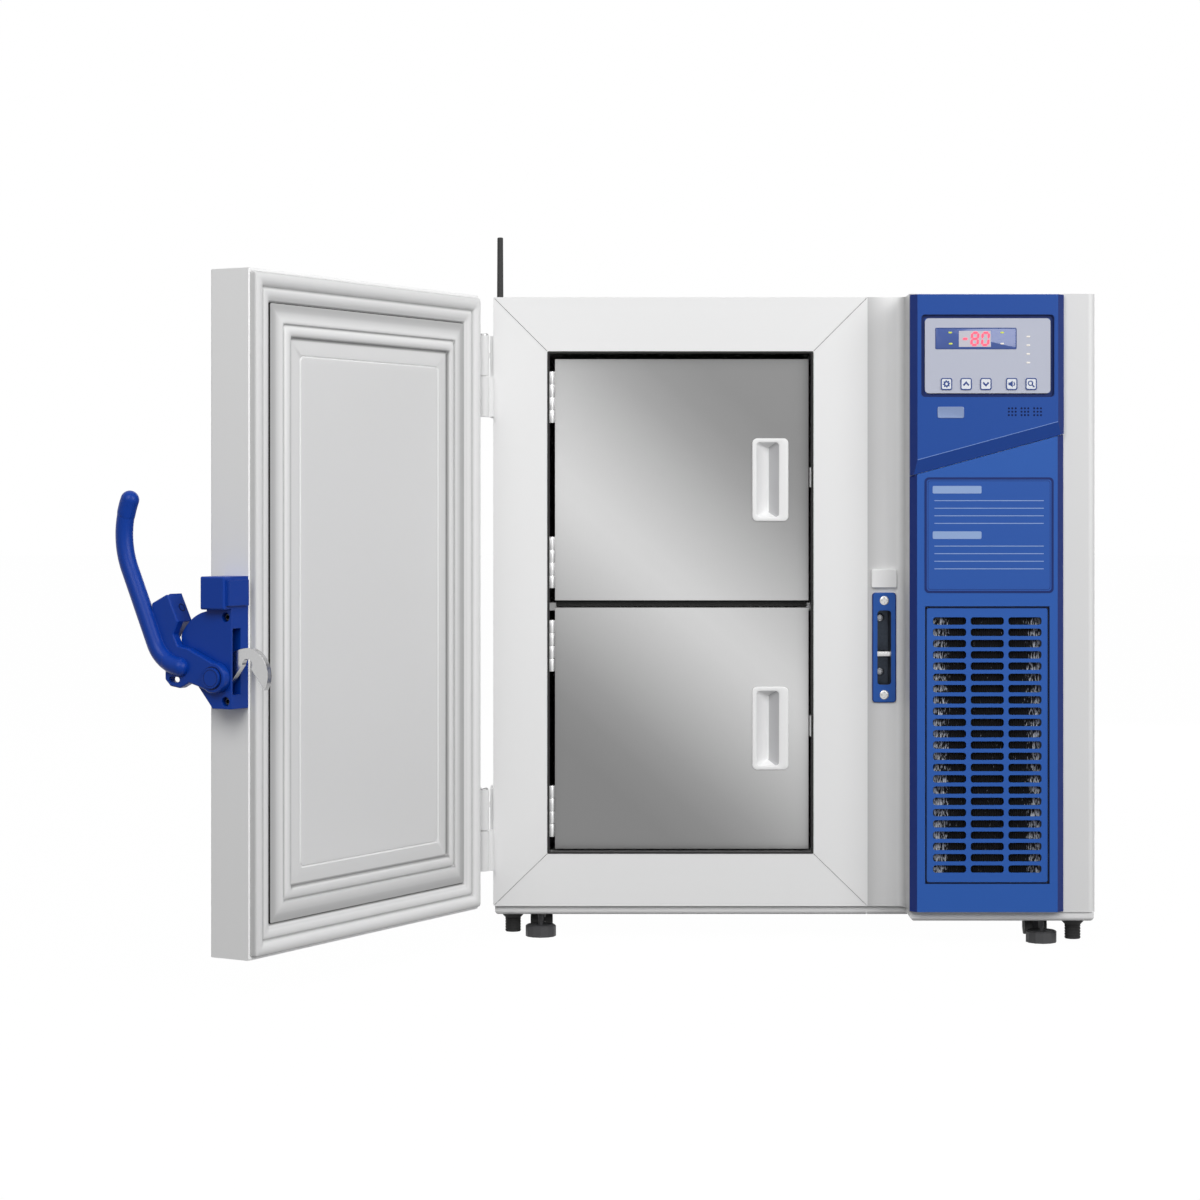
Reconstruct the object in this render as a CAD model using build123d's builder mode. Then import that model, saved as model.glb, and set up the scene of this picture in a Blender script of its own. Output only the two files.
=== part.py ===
from build123d import *
import math
import os

os.makedirs("parts", exist_ok=True)

# Undercounter ultra low temperature freezer, in millimetres.
# X runs along the front, Y runs from the front face into the cabinet, Z is up.
# The origin lies on the floor, below the middle of the front face.

# Cabinet
cabinet_depth = 650
cabinet_top = 777
cabinet_base = 40
casing_corner = 4
sheet = 1.5
frame_sheet = 3
frame_side = 66
frame_top = 66
frame_bottom = 64
mitre_gap = 0.6
tray_drop = 11
tray_floor = 2
tray_inset = 2
tray_edge = 5

# Outer door and its hinges
door_width = 453
door_thickness = 51
door_gap = 11
door_open = 120
door_edge = 3
liner_plate = 6
plug_margins = [44, 52, 60]
plug_step = 1.7
panel_margin = 71
panel_recess = 3
panel_recess_slope = 45
gasket_margin = 2
gasket_width = 32
gasket_bead = 11
gasket_flange_height = 9.5
gasket_groove_height = 4
gasket_clearance = 0.3
hinge_stand_off = 12
hinge_radius = 7.5
hinge_pin_radius = 4
hinge_length = 98
hinge_heights = [632, 84]
hinge_leaf = 4
hinge_leaf_reach = 44
hinge_setback = 13
running_clearance = 0.05
knuckle_gap = 1

# Control column on the right
column_width = 45
column_depth = 52
column_curve = 10
column_nose = 4
column_edge = 9
panel_width = 183
side_strip = 39
panel_thickness = 10
panel_chamfer = 8
panel_inset = 1.5
bezel_thickness = 14
bezel_band = 16
bezel_band_depth = 3.9
band_low = 560
band_rise = 50
band_gap = 0.6

# Control plate and keys
overlay_width = 149
overlay_height = 89
overlay_thickness = 3
overlay_middle = 702.5
overlay_recess_border = 4.5
overlay_recess_depth = 4
overlay_ledge = 2.5
bezel_floor = 3
display_width = 96
display_height = 25
display_offset = -14
display_middle = 723
key_names = ["settings_key", "up_key", "down_key", "silence_key", "inquiry_key"]
key_offsets = [-49, -25.7, -2.3, 28.4, 51.5]
key_width = 12.5
key_height = 13.3
key_corner = 2
key_proud = 1
key_row = 669
key_clearance = 0.3
key_flange = 1
key_flange_lip = 1.2
key_flange_gap = 0.1
key_switch_gap = 0.7
key_switch = 6
board_gap = 2
board_thickness = 1.6
board_side = 4

# Grille in front of the condenser
grille_width = 144
grille_height = 326
grille_middle = 240
grille_gap = 2
grille_plate = 3
grille_sink = 1
grille_rim = 3
slot_width = 39.5
slot_height = 9
slot_corner = 3.5
slot_columns = 3
slot_rows = 23
slot_pitch_x = 44.8
slot_pitch_z = 13.4
speaker_hole = 0.9
speaker_pitch = 4
speaker_group_pitch = 15
speaker_offset = 44
speaker_height = 636

# Chamber, inner doors, shelf
chamber_back = 85
inner_recess = 20
inner_axis_proud = 1
inner_thickness = 24
inner_skin = 1.2
inner_hinge_gap = 8.5
inner_latch_gap = 4
inner_top_gap = 8
inner_bottom_gap = 3
inner_middle_gap = 9
inner_pin_radius = 2
inner_knuckle_radius = 4
inner_knuckle = 15.6
inner_hinge_inset = 15
inner_leaf = 1.2
inner_leaf_reach = 24
pull_width = 44
pull_height = 101
pull_corner = 5
pull_rim = 3
pull_bowl_width = 27.5
pull_bowl_height = 91
pull_bowl_depth = 15
pull_bowl_wall = 1.5
pull_bowl_offset = -3
pull_from_latch = 46.5
shelf_sheet = 1.5
shelf_clearance = 0.5
shelf_lip = 8
shelf_ledge = 8
shelf_ledge_height = 4
catch_height = 24
catch_depth = 24
catch_gap = 1.4
catch_rise = 3
coil_radius = 4
coil_clearance = 0.2
coil_inset = 28
coil_runs = 8
coil_bend = 24

# Lock on the door and strike on the column
lock_thickness = 30
lock_edge = 1.5
lock_low = -33
lock_high = 107
lock_right = 17
lock_neck = -15
lock_neck_low = 70
lock_crown = (-21, 68.5)
lock_cheek = (-40, 56.5)
lock_jowl = (-49, 43)
lock_chin = [(-47, 22), (-27, -9), (-7, -33)]
lock_head_low = 72
lock_head_thickness = 42
lock_head_corner = 2
lock_wall = 3
lock_slot_low = 18
lock_slot_high = 52
lock_slot_depth = 35
lock_pad = 4
lock_pad_margin = 4
lock_bolts = [(10, 64), (10, -25)]
lock_bolt_radius = 5
lock_bolt_depth = 9
pivot_height = 342
pivot_depth = 17
hook_thickness = 7
hook_hub = 13
hook_side_gap = 3.5
hook_seat_clearance = 2
hook_tip = (56, -12)
hook_belly = (59, 11)
hook_crown = (36, 32)
hook_shoulder = (14, 27)
hook_heel = (11, -7)
hook_lock_turn = 18
hook_mouth_angle = -40
shaft_radius = 6
shaft_cap_radius = 11
shaft_cap = 3
lever_gap = 0.4
lever_thickness = 10
lever_edge = 1.2
lever_hub = 16
lever_corner = 3
arm_lower = [(-20, -9), (-31, -6), (-43, -12), (-56, -10), (-63, -3)]
arm_outer = [(-63, 6), (-76, 30), (-81.5, 77.3), (-59.8, 87.9), (-45.7, 58.5)]
arm_inner = [(-52, 45), (-46, 33), (-32, 30)]
block_outline = [(-77, 40), (-81.5, 77.3), (-59.8, 87.9), (-45.7, 58.5)]
block_belly = (-55.8, 48.6)
block_end = (-66, 33.5)
block_reach = 16
grip_radius = 9.5
grip_end_swell = 0.3
grip_reach = 41
grip_top = (-110, 188)
grip_belly = (-117.5, 147)
grip_waist = (-108, 110)
grip_elbow = (-75, 35)
grip_root = (-42, 10.5)
padlock_slot_place = (-50, -3)
padlock_slot_length = 14
padlock_slot_width = 6
strike_width = 29
strike_height = 133
strike_thickness = 3
strike_corner = 4
strike_middle = 353
strike_inset = 5.5
strike_slot_width = 16.6
strike_slot_height = 90
strike_depth = 40
strike_wall = 3
strike_clearance = 0.2
pin_radius = 4.5
pin_depth = 8
pin_height = 345
sensor_width = 30
sensor_height = 22
sensor_thickness = 5
sensor_gap = 6

# Machine compartment
condenser_width = 140
condenser_depth = 40
condenser_height = 318
condenser_gap = 3
fin_count = 18
fin_thickness = 0.8
tube_rows = 7
tube_radius = 4
shroud_plate = 2
fan_radius = 58
fan_gap = 4
fan_hub = 20
fan_depth = 16
fan_blade_count = 5
fan_blade_pitch = 32
fan_blade_thickness = 2
fan_shaft_radius = 3
fan_strut = 8
motor_radius = 24
motor_length = 36
compressor_radius = 72
compressor_dome = 36
compressor_port = 24
compressor_height = 190
compressor_inset = 230
compressor_foot = 8
compressor_foot_width = 160
compressor_foot_depth = 110
pipe_radius = 4
pipe_bend = 20
pipe_rise = 40
louvre_length = 60
louvre_height = 5
louvre_rows = 18
louvre_pitch_x = 76
louvre_pitch_z = 16
louvre_middle = 300
inlet_inset = 32
inlet_z = 130
inlet_width = 28
inlet_height = 22
inlet_depth = 26
inlet_flange = 4
inlet_wall = 2

# Antenna
antenna_inset = 50
antenna_z = 735
antenna_radius = 5
antenna_length = 168
antenna_taper = 0.3
antenna_stem = 2
antenna_nut = 5.5
antenna_ear = 2.5
antenna_pin = 1.5

# Feet, casters and buffers
foot_left_inset = 57
foot_right_inset = 60
foot_left_y = 28
foot_right_y = -20
foot_radius = 18.5
foot_height = 14
foot_sides = 12
foot_edge = 1.5
foot_stem_radius = 3
foot_stem_top = 5
caster_spacing = 44
caster_lift = 1.5
caster_trail = 8
wheel_radius = 11.5
wheel_width = 9
wheel_gap = 0.4
axle_radius = 2.5
fork_width = 8
fork_plate_radius = 14
fork_plate_gap = 0.4
fork_plate = 3
fork_stem_radius = 4
rear_caster_inset = 50
buffer_inset = 23
buffer_left_y = 34
buffer_right_y = -24
buffer_radius = 9.5
buffer_flange = 16
buffer_cone = 7
buffer_lift = 5
buffer_ribs = 5
buffer_rib_depth = 0.6

# Places worked out from the sizes above
cabinet_width = door_width + column_width + panel_width + side_strip
left = -cabinet_width / 2
right = cabinet_width / 2
frame_right = left + door_width
panel_left = frame_right + column_width
panel_right = panel_left + panel_width
panel_middle = (panel_left + panel_right) / 2
open_left = left + frame_side
open_right = frame_right - frame_side
open_low = cabinet_base + frame_bottom
open_high = cabinet_top - frame_top
open_middle_x = (open_left + open_right) / 2
open_middle_z = (open_low + open_high) / 2
tray_low = cabinet_base - tray_drop
tray_top = tray_low + tray_floor
panel_face = -column_depth - panel_thickness
bezel_face = -column_depth - bezel_thickness
chamber_depth = cabinet_depth - chamber_back
liner_back = chamber_depth + sheet
back_inside = cabinet_depth - sheet
antenna_y = cabinet_depth - antenna_inset
hinge_x = left - hinge_stand_off
hinge_y = -door_gap

door_frame = Plane(
    origin=(hinge_x, hinge_y, 0),
    x_dir=(math.cos(math.radians(door_open)), -math.sin(math.radians(door_open)), 0),
    z_dir=(0, 0, 1),
)
door_hinge_edge = hinge_stand_off
door_latch_edge = hinge_stand_off + door_width
door_middle_x = (door_hinge_edge + door_latch_edge) / 2
door_height = cabinet_top - cabinet_base
door_middle_z = (cabinet_base + cabinet_top) / 2


def on_door(local):
    """Turn a plane in the closed door's own frame into the plane where the open door holds it."""
    return Plane(door_frame.location * local.location)


def block(x0, x1, y0, y1, z0, z1, mode=Mode.ADD):
    """Box between two corners, in the open part's own frame."""
    with Locations(((x0 + x1) / 2, (y0 + y1) / 2, (z0 + z1) / 2)):
        Box(x1 - x0, y1 - y0, z1 - z0, mode=mode)


def write(part, name):
    """Label a finished piece and write its file."""
    part.label = name
    export_step(part, f"parts/{name}.step")


def front_plane(y):
    """Upright plane at depth y, facing the viewer, with X to the right and Z up."""
    return Plane.XZ.offset(-y)


# Outer casing: one sheet bent over the left side, the top and the right side
with BuildPart() as outer_casing:
    with BuildSketch(front_plane(frame_sheet)) as casing_wrap:
        with Locations((0, door_middle_z)):
            Rectangle(cabinet_width, door_height)
        fillet(casing_wrap.vertices().group_by(Axis.Z)[-1], casing_corner)
        with Locations((0, door_middle_z - sheet)):
            Rectangle(cabinet_width - 2 * sheet, door_height, mode=Mode.SUBTRACT)
    extrude(amount=-(cabinet_depth - frame_sheet))
    with BuildSketch(Plane.YZ.offset(left)) as antenna_hole:
        with Locations((antenna_y, antenna_z)):
            Circle(antenna_stem + running_clearance)
    extrude(amount=sheet, mode=Mode.SUBTRACT)
write(outer_casing.part, "outer_casing")

# Rear panel: a main sheet with louvres behind the machine compartment, an edge sheet, and between them
# a narrow service strip that the mains inlet interrupts
inlet_x = right - inlet_inset
with BuildPart() as rear_panel:
    with BuildSketch(front_plane(back_inside)):
        with Locations((0, (cabinet_base + cabinet_top - sheet) / 2)):
            Rectangle(cabinet_width - 2 * sheet, door_height - sheet)
        with Locations((panel_middle, louvre_middle)):
            with GridLocations(louvre_pitch_x, louvre_pitch_z, 2, louvre_rows):
                SlotOverall(louvre_length, louvre_height, mode=Mode.SUBTRACT)
        with Locations((inlet_x, inlet_z)):
            Rectangle(inlet_width, inlet_height, mode=Mode.SUBTRACT)
        with Locations((inlet_x, door_middle_z)):
            with GridLocations(inlet_width + mitre_gap, 0, 2, 1):
                Rectangle(mitre_gap, door_height, mode=Mode.SUBTRACT)
    extrude(amount=-sheet)
write(rear_panel.part, "rear_panel")

# Base tray: a shallow pan with the partition wall of the machine compartment folded up from it
caster_spots = [
    (left + foot_left_inset, foot_left_y + caster_spacing),
    (right - foot_right_inset, foot_right_y + caster_spacing),
]
foot_spots = [
    (left + foot_left_inset, foot_left_y),
    (right - foot_right_inset, foot_right_y),
]
tray_outline = [
    (left + tray_inset, frame_sheet + tray_inset),
    (panel_left + tray_inset, frame_sheet + tray_inset),
    (panel_left + tray_inset, -column_depth + tray_inset),
    (right - tray_inset, -column_depth + tray_inset),
    (right - tray_inset, cabinet_depth - tray_inset),
    (left + tray_inset, cabinet_depth - tray_inset),
]
with BuildPart() as base_tray:
    with BuildSketch(Plane.XY.offset(tray_low)) as tray_face:
        with BuildLine():
            Polyline(*tray_outline, close=True)
        make_face()
    extrude(amount=tray_drop)
    fillet(base_tray.faces().sort_by(Axis.Z)[0].edges(), tray_edge)
    with BuildSketch(Plane.XY.offset(tray_top)):
        add(tray_face.sketch.face().moved(Location((0, 0, tray_floor))))
        offset(amount=-sheet)
    extrude(amount=tray_drop, mode=Mode.SUBTRACT)
    block(
        frame_right - sheet, frame_right, frame_sheet + tray_inset, back_inside,
        tray_low + tray_floor / 2, cabinet_top - sheet,
    )
    with BuildSketch(Plane.XY.offset(tray_low)):
        with Locations(*foot_spots):
            Circle(foot_stem_radius + running_clearance)
        with Locations(*caster_spots):
            Circle(fork_stem_radius + running_clearance)
    extrude(amount=tray_floor, mode=Mode.SUBTRACT)
write(base_tray.part, "base_tray")

# Front frame: four mitred lengths around the chamber opening
mitres = [
    ((left, cabinet_top), (open_left, open_high)),
    ((frame_right, cabinet_top), (open_right, open_high)),
    ((left, cabinet_base), (open_left, open_low)),
    ((frame_right, cabinet_base), (open_right, open_low)),
]
with BuildPart() as front_frame:
    with BuildSketch(front_plane(frame_sheet)):
        with Locations(((left + frame_right) / 2, door_middle_z)):
            Rectangle(door_width, door_height)
        with Locations((open_middle_x, open_middle_z)):
            Rectangle(open_right - open_left, open_high - open_low, mode=Mode.SUBTRACT)
        with BuildLine():
            for outer, inner in mitres:
                reach = Vector(*inner) - Vector(*outer)
                past = reach.normalized() * frame_sheet
                Line(Vector(*outer) - past, Vector(*inner) + past)
        trace(line_width=mitre_gap, mode=Mode.SUBTRACT)
    extrude(amount=frame_sheet)
write(front_frame.part, "front_frame")

# Insulation: foam between the casing and the chamber, with room for the coil at the back
with BuildPart() as insulation:
    block(left + sheet, frame_right - sheet, frame_sheet, back_inside, cabinet_base, cabinet_top - sheet)
    block(
        open_left - sheet, open_right + sheet, frame_sheet, liner_back,
        open_low - sheet, open_high + sheet, mode=Mode.SUBTRACT,
    )
    block(
        open_left, open_right, liner_back, liner_back + 2 * coil_radius + 2 * coil_clearance,
        open_low, open_high, mode=Mode.SUBTRACT,
    )
write(insulation.part, "insulation")

# Chamber liner with pressed ledges that carry the shelf
inner_split = (open_low + inner_bottom_gap + open_high - inner_top_gap) / 2
ledge_top = inner_split - shelf_sheet / 2
shelf_front = inner_recess + inner_thickness + 2 * shelf_clearance
with BuildPart() as chamber_liner:
    block(
        open_left - sheet, open_right + sheet, frame_sheet, liner_back,
        open_low - sheet, open_high + sheet,
    )
    block(open_left, open_right, frame_sheet, chamber_depth, open_low, open_high, mode=Mode.SUBTRACT)
    for wall_x, inward in ((open_left, 1), (open_right, -1)):
        edges_x = sorted((wall_x, wall_x + inward * shelf_ledge))
        block(*edges_x, shelf_front + shelf_lip, chamber_depth, ledge_top - shelf_ledge_height, ledge_top)
write(chamber_liner.part, "chamber_liner")

# Shelf: a tray with a turned-down front lip
with BuildPart() as shelf:
    block(
        open_left + shelf_clearance, open_right - shelf_clearance, shelf_front,
        chamber_depth - shelf_clearance, ledge_top, ledge_top + shelf_sheet,
    )
    block(
        open_left + shelf_clearance, open_right - shelf_clearance, shelf_front,
        shelf_front + shelf_sheet, ledge_top - shelf_lip, ledge_top,
    )
write(shelf.part, "shelf")

# Evaporator coil: a serpentine tube against the back of the liner
coil_y = liner_back + coil_radius + coil_clearance
coil_pitch = (open_high - open_low - 2 * coil_inset) / (coil_runs - 1)
coil_points = []
for run in range(coil_runs):
    run_z = open_low + coil_inset + run * coil_pitch
    ends = [(open_left + coil_inset, run_z), (open_right - coil_inset, run_z)]
    coil_points += ends if run % 2 == 0 else ends[::-1]
with BuildPart() as evaporator_coil:
    with BuildLine(front_plane(coil_y)) as coil_path:
        FilletPolyline(*coil_points, radius=coil_bend)
    with BuildSketch(Plane(origin=coil_path.line @ 0, z_dir=coil_path.line % 0)):
        Circle(coil_radius)
    sweep(path=coil_path.line)
write(evaporator_coil.part, "evaporator_coil")

# Control column housing: a folded sheet shell, open at the back
column_corners = [
    (frame_right, frame_sheet), (frame_right, 0), (panel_left, 0),
    (panel_left, -column_depth), (right, -column_depth), (right, frame_sheet),
]
column_hollow = [
    (frame_right + sheet, 2 * frame_sheet), (frame_right + sheet, sheet), (panel_left + sheet, sheet),
    (panel_left + sheet, sheet - column_depth), (right - sheet, sheet - column_depth),
    (right - sheet, 2 * frame_sheet),
]
strike_x = frame_right + strike_inset + strike_width / 2
strike_box_width = strike_slot_width + 2 * strike_wall
strike_box_height = strike_slot_height + 2 * strike_wall
board_width = overlay_width - 2 * board_side
board_height = overlay_height - 2 * board_side
with BuildPart() as column_housing:
    with BuildSketch(Plane.XY.offset(cabinet_base)) as column_outline:
        with BuildLine():
            Polyline(*column_corners, close=True)
        make_face()
        fillet(column_outline.vertices().sort_by_distance((panel_left, 0, 0))[0], column_curve)
        fillet(column_outline.vertices().sort_by_distance((panel_left, -column_depth, 0))[0], column_nose)
        fillet(column_outline.vertices().sort_by_distance((right, -column_depth, 0))[0], column_edge)
    extrude(amount=door_height)
    with BuildSketch(Plane.XY.offset(cabinet_base + sheet)) as hollow_outline:
        with BuildLine():
            Polyline(*column_hollow, close=True)
        make_face()
        corner = (panel_left + sheet, sheet, 0)
        fillet(hollow_outline.vertices().sort_by_distance(corner)[0], column_curve + sheet)
        corner = (panel_left + sheet, sheet - column_depth, 0)
        fillet(hollow_outline.vertices().sort_by_distance(corner)[0], column_nose - sheet)
        corner = (right - sheet, sheet - column_depth, 0)
        fillet(hollow_outline.vertices().sort_by_distance(corner)[0], column_edge - sheet)
    extrude(amount=door_height - 2 * sheet, mode=Mode.SUBTRACT)
    block(
        strike_x - strike_box_width / 2 - strike_clearance,
        strike_x + strike_box_width / 2 + strike_clearance,
        -sheet, 2 * sheet,
        strike_middle - strike_box_height / 2 - strike_clearance,
        strike_middle + strike_box_height / 2 + strike_clearance, mode=Mode.SUBTRACT,
    )
    with BuildSketch(front_plane(-column_depth)):
        with Locations((panel_middle, grille_middle)):
            Rectangle(grille_width - 2 * grille_rim, grille_height - 2 * grille_rim)
        with Locations((panel_middle, overlay_middle)):
            Rectangle(board_width, board_height)
    extrude(amount=-2 * sheet, mode=Mode.SUBTRACT)
write(column_housing.part, "column_housing")

# Lower front panel with the grille opening, and a sloping top edge
panel_low = cabinet_base + panel_inset
panel_high = cabinet_top - panel_inset
band_high = band_low + band_rise
with BuildPart() as front_panel:
    with BuildSketch(front_plane(-column_depth)):
        with BuildLine():
            Polyline(
                (panel_left, panel_low), (panel_right, panel_low),
                (panel_right, band_high - band_gap), (panel_left, band_low - band_gap), close=True,
            )
        make_face()
        with Locations((panel_middle, grille_middle)):
            Rectangle(grille_width + 2 * grille_gap, grille_height + 2 * grille_gap, mode=Mode.SUBTRACT)
    extrude(amount=panel_thickness)
    upright = front_panel.faces().sort_by(Axis.Y)[0].edges().filter_by(Axis.Z).sort_by(Axis.X)
    chamfer([upright[0], upright[-1]], panel_chamfer)
write(front_panel.part, "front_panel")

# Upper bezel: prouder than the lower panel, with a bevelled sloping band and the control recess
recess_width = overlay_width + 2 * overlay_recess_border
recess_height = overlay_height + 2 * overlay_recess_border
recess_floor = bezel_face + overlay_recess_depth
with BuildPart() as control_bezel:
    with BuildSketch(front_plane(-column_depth)):
        with BuildLine():
            Polyline(
                (panel_left, band_low), (panel_right, band_high),
                (panel_right, panel_high), (panel_left, panel_high), close=True,
            )
        make_face()
    extrude(amount=bezel_thickness)
    bezel_front = control_bezel.faces().sort_by(Axis.Y)[0]
    band_edge = bezel_front.edges().sort_by(Axis.Z)[0]
    chamfer(band_edge, length=bezel_band, length2=bezel_band_depth, reference=bezel_front)
    upright = control_bezel.faces().sort_by(Axis.Y)[0].edges().filter_by(Axis.Z).sort_by(Axis.X)
    chamfer([upright[0], upright[-1]], panel_chamfer)
    with BuildSketch(front_plane(bezel_face)):
        with Locations((panel_middle, overlay_middle)):
            RectangleRounded(recess_width, recess_height, overlay_recess_border)
    extrude(amount=-overlay_recess_depth, mode=Mode.SUBTRACT)
    with BuildSketch(front_plane(recess_floor)):
        with Locations((panel_middle, overlay_middle)):
            Rectangle(overlay_width - 2 * overlay_ledge, overlay_height - 2 * overlay_ledge)
    extrude(amount=-bezel_floor, mode=Mode.SUBTRACT)
    with BuildSketch(front_plane(-column_depth)):
        with Locations((panel_middle, overlay_middle)):
            Rectangle(board_width, board_height)
    extrude(amount=bezel_thickness - overlay_recess_depth - bezel_floor, mode=Mode.SUBTRACT)
    with BuildSketch(front_plane(bezel_face)):
        with Locations((panel_middle + speaker_offset, speaker_height)):
            with GridLocations(speaker_group_pitch, 0, 3, 1):
                with GridLocations(speaker_pitch, speaker_pitch, 3, 3):
                    Circle(speaker_hole)
    extrude(amount=-overlay_recess_depth, mode=Mode.SUBTRACT)
write(control_bezel.part, "control_bezel")

# Control plate in the bezel's recess, cut for the display and the keys
overlay_face = recess_floor - overlay_thickness
with BuildPart() as control_overlay:
    with BuildSketch(front_plane(recess_floor)):
        with Locations((panel_middle, overlay_middle)):
            RectangleRounded(overlay_width, overlay_height, overlay_recess_border)
        with Locations((panel_middle + display_offset, display_middle)):
            Rectangle(display_width, display_height, mode=Mode.SUBTRACT)
        with Locations(*[(panel_middle + x, key_row) for x in key_offsets]):
            RectangleRounded(
                key_width + 2 * key_clearance, key_height + 2 * key_clearance,
                key_corner + key_clearance, mode=Mode.SUBTRACT,
            )
    extrude(amount=overlay_thickness)
write(control_overlay.part, "control_overlay")

# Keys: each has a cap in the plate and a retaining flange behind it
key_back = recess_floor + key_flange_gap
for name, x in zip(key_names, key_offsets):
    with BuildPart() as key:
        with BuildSketch(front_plane(key_back)):
            with Locations((panel_middle + x, key_row)):
                RectangleRounded(key_width, key_height, key_corner)
        extrude(amount=key_back - overlay_face + key_proud)
        with BuildSketch(front_plane(key_back)):
            with Locations((panel_middle + x, key_row)):
                Rectangle(key_width + 2 * key_flange_lip, key_height + 2 * key_flange_lip)
        extrude(amount=-key_flange)
    write(key.part, name)

# Control board with the display block and one switch behind each key
board_face = recess_floor + bezel_floor + board_gap
switch_face = key_back + key_flange + key_switch_gap
with BuildPart() as control_board:
    with BuildSketch(front_plane(board_face)):
        with Locations((panel_middle, overlay_middle)):
            Rectangle(board_width - 2 * key_clearance, board_height - 2 * key_clearance)
    extrude(amount=-board_thickness)
    with BuildSketch(front_plane(board_face)):
        with Locations((panel_middle + display_offset, display_middle)):
            Rectangle(display_width - 2 * key_clearance, display_height - 2 * key_clearance)
    extrude(amount=board_face - overlay_face - key_clearance)
    with BuildSketch(front_plane(board_face)):
        with Locations(*[(panel_middle + x, key_row) for x in key_offsets]):
            Rectangle(key_switch, key_switch)
    extrude(amount=board_face - switch_face)
write(control_board.part, "control_board")

# Ventilation grille: a slotted plate with a rim that stands on the housing
grille_face = panel_face + grille_sink
with BuildPart() as filter_grille:
    with BuildSketch(front_plane(-column_depth)) as grille_outline:
        with Locations((panel_middle, grille_middle)):
            RectangleRounded(grille_width, grille_height, grille_rim)
    extrude(amount=-column_depth - grille_face)
    with BuildSketch(front_plane(-column_depth)):
        with Locations((panel_middle, grille_middle)):
            Rectangle(grille_width - 2 * grille_rim, grille_height - 2 * grille_rim)
    extrude(amount=-column_depth - grille_face - grille_plate, mode=Mode.SUBTRACT)
    with BuildSketch(front_plane(grille_face)):
        with Locations((panel_middle, grille_middle)):
            with GridLocations(slot_pitch_x, slot_pitch_z, slot_columns, slot_rows):
                RectangleRounded(slot_width, slot_height, slot_corner)
    extrude(amount=-grille_plate, mode=Mode.SUBTRACT)
write(filter_grille.part, "filter_grille")

# Condenser: upright fins on a bank of tubes, seated on the housing behind the grille
condenser_y = -column_depth + sheet + condenser_gap + condenser_depth / 2
fin_pitch = condenser_width / (fin_count - 1)
tube_pitch = condenser_height / tube_rows
with BuildPart() as condenser:
    with Locations((panel_middle, condenser_y, grille_middle)):
        with GridLocations(fin_pitch, 0, fin_count, 1):
            Box(fin_thickness, condenser_depth, condenser_height)
    with BuildSketch(Plane.YZ.offset(panel_middle - condenser_width / 2 - tube_radius)):
        with Locations((condenser_y, grille_middle)):
            with GridLocations(0, tube_pitch, 1, tube_rows):
                Circle(tube_radius)
    extrude(amount=condenser_width + 2 * tube_radius)
    for side in (-1, 1):
        plate_x = panel_middle + side * (condenser_width / 2 + tube_radius)
        block(
            plate_x - sheet / 2, plate_x + sheet / 2, sheet - column_depth,
            condenser_y + condenser_depth / 2, grille_middle - condenser_height / 2,
            grille_middle + condenser_height / 2,
        )
write(condenser.part, "condenser")

# Fan shroud: a plate with a ring, and struts that hold the motor on the fan's axis
shroud_y = condenser_y + condenser_depth / 2
fan_y = shroud_y + shroud_plate + fan_gap
motor_y = fan_y + fan_depth + fan_gap
with BuildPart() as fan_shroud:
    with BuildSketch(front_plane(shroud_y)):
        with Locations((panel_middle, grille_middle)):
            Rectangle(condenser_width + 2 * tube_radius + sheet, condenser_height)
            Circle(fan_radius + fan_gap, mode=Mode.SUBTRACT)
    extrude(amount=-shroud_plate)
    with BuildSketch(front_plane(shroud_y)):
        with Locations((panel_middle, grille_middle)):
            Circle(fan_radius + fan_gap + shroud_plate)
            Circle(fan_radius + fan_gap, mode=Mode.SUBTRACT)
    extrude(amount=-(motor_y + fan_strut - shroud_y))
    with BuildSketch(front_plane(motor_y)):
        with Locations((panel_middle, grille_middle)):
            Rectangle(2 * fan_radius + 2 * fan_gap + shroud_plate, fan_strut)
            Rectangle(fan_strut, 2 * fan_radius + 2 * fan_gap + shroud_plate)
            Circle(motor_radius, mode=Mode.SUBTRACT)
    extrude(amount=-fan_strut)
write(fan_shroud.part, "fan_shroud")

# Fan motor with its shaft running forward into the fan's hub
with BuildPart() as fan_motor:
    with BuildSketch(front_plane(motor_y)):
        with Locations((panel_middle, grille_middle)):
            Circle(motor_radius)
    extrude(amount=-motor_length)
    fillet(fan_motor.faces().sort_by(Axis.Y)[-1].edges(), fan_gap)
    with BuildSketch(front_plane(motor_y)):
        with Locations((panel_middle, grille_middle)):
            Circle(fan_shaft_radius)
    extrude(amount=motor_y - fan_y)
write(fan_motor.part, "fan_motor")

# Fan: a hub bored for the shaft, with pitched blades around it
with BuildPart() as fan_blades:
    with BuildSketch(front_plane(fan_y)):
        with Locations((panel_middle, grille_middle)):
            Circle(fan_hub)
    extrude(amount=-fan_depth)
    for blade in range(fan_blade_count):
        turn = 360 / fan_blade_count * blade
        spoke = Location((panel_middle, fan_y + fan_depth / 2, grille_middle), (0, turn, 0))
        reach = (fan_hub + fan_radius) / 2
        with Locations(spoke * Location((reach, 0, 0), (fan_blade_pitch, 0, 0))):
            Box(fan_radius - fan_hub + fan_blade_thickness, fan_blade_thickness, fan_hub)
    with BuildSketch(front_plane(fan_y)):
        with Locations((panel_middle, grille_middle)):
            Circle(fan_shaft_radius + running_clearance)
    extrude(amount=-fan_depth, mode=Mode.SUBTRACT)
write(fan_blades.part, "fan_blades")

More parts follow.
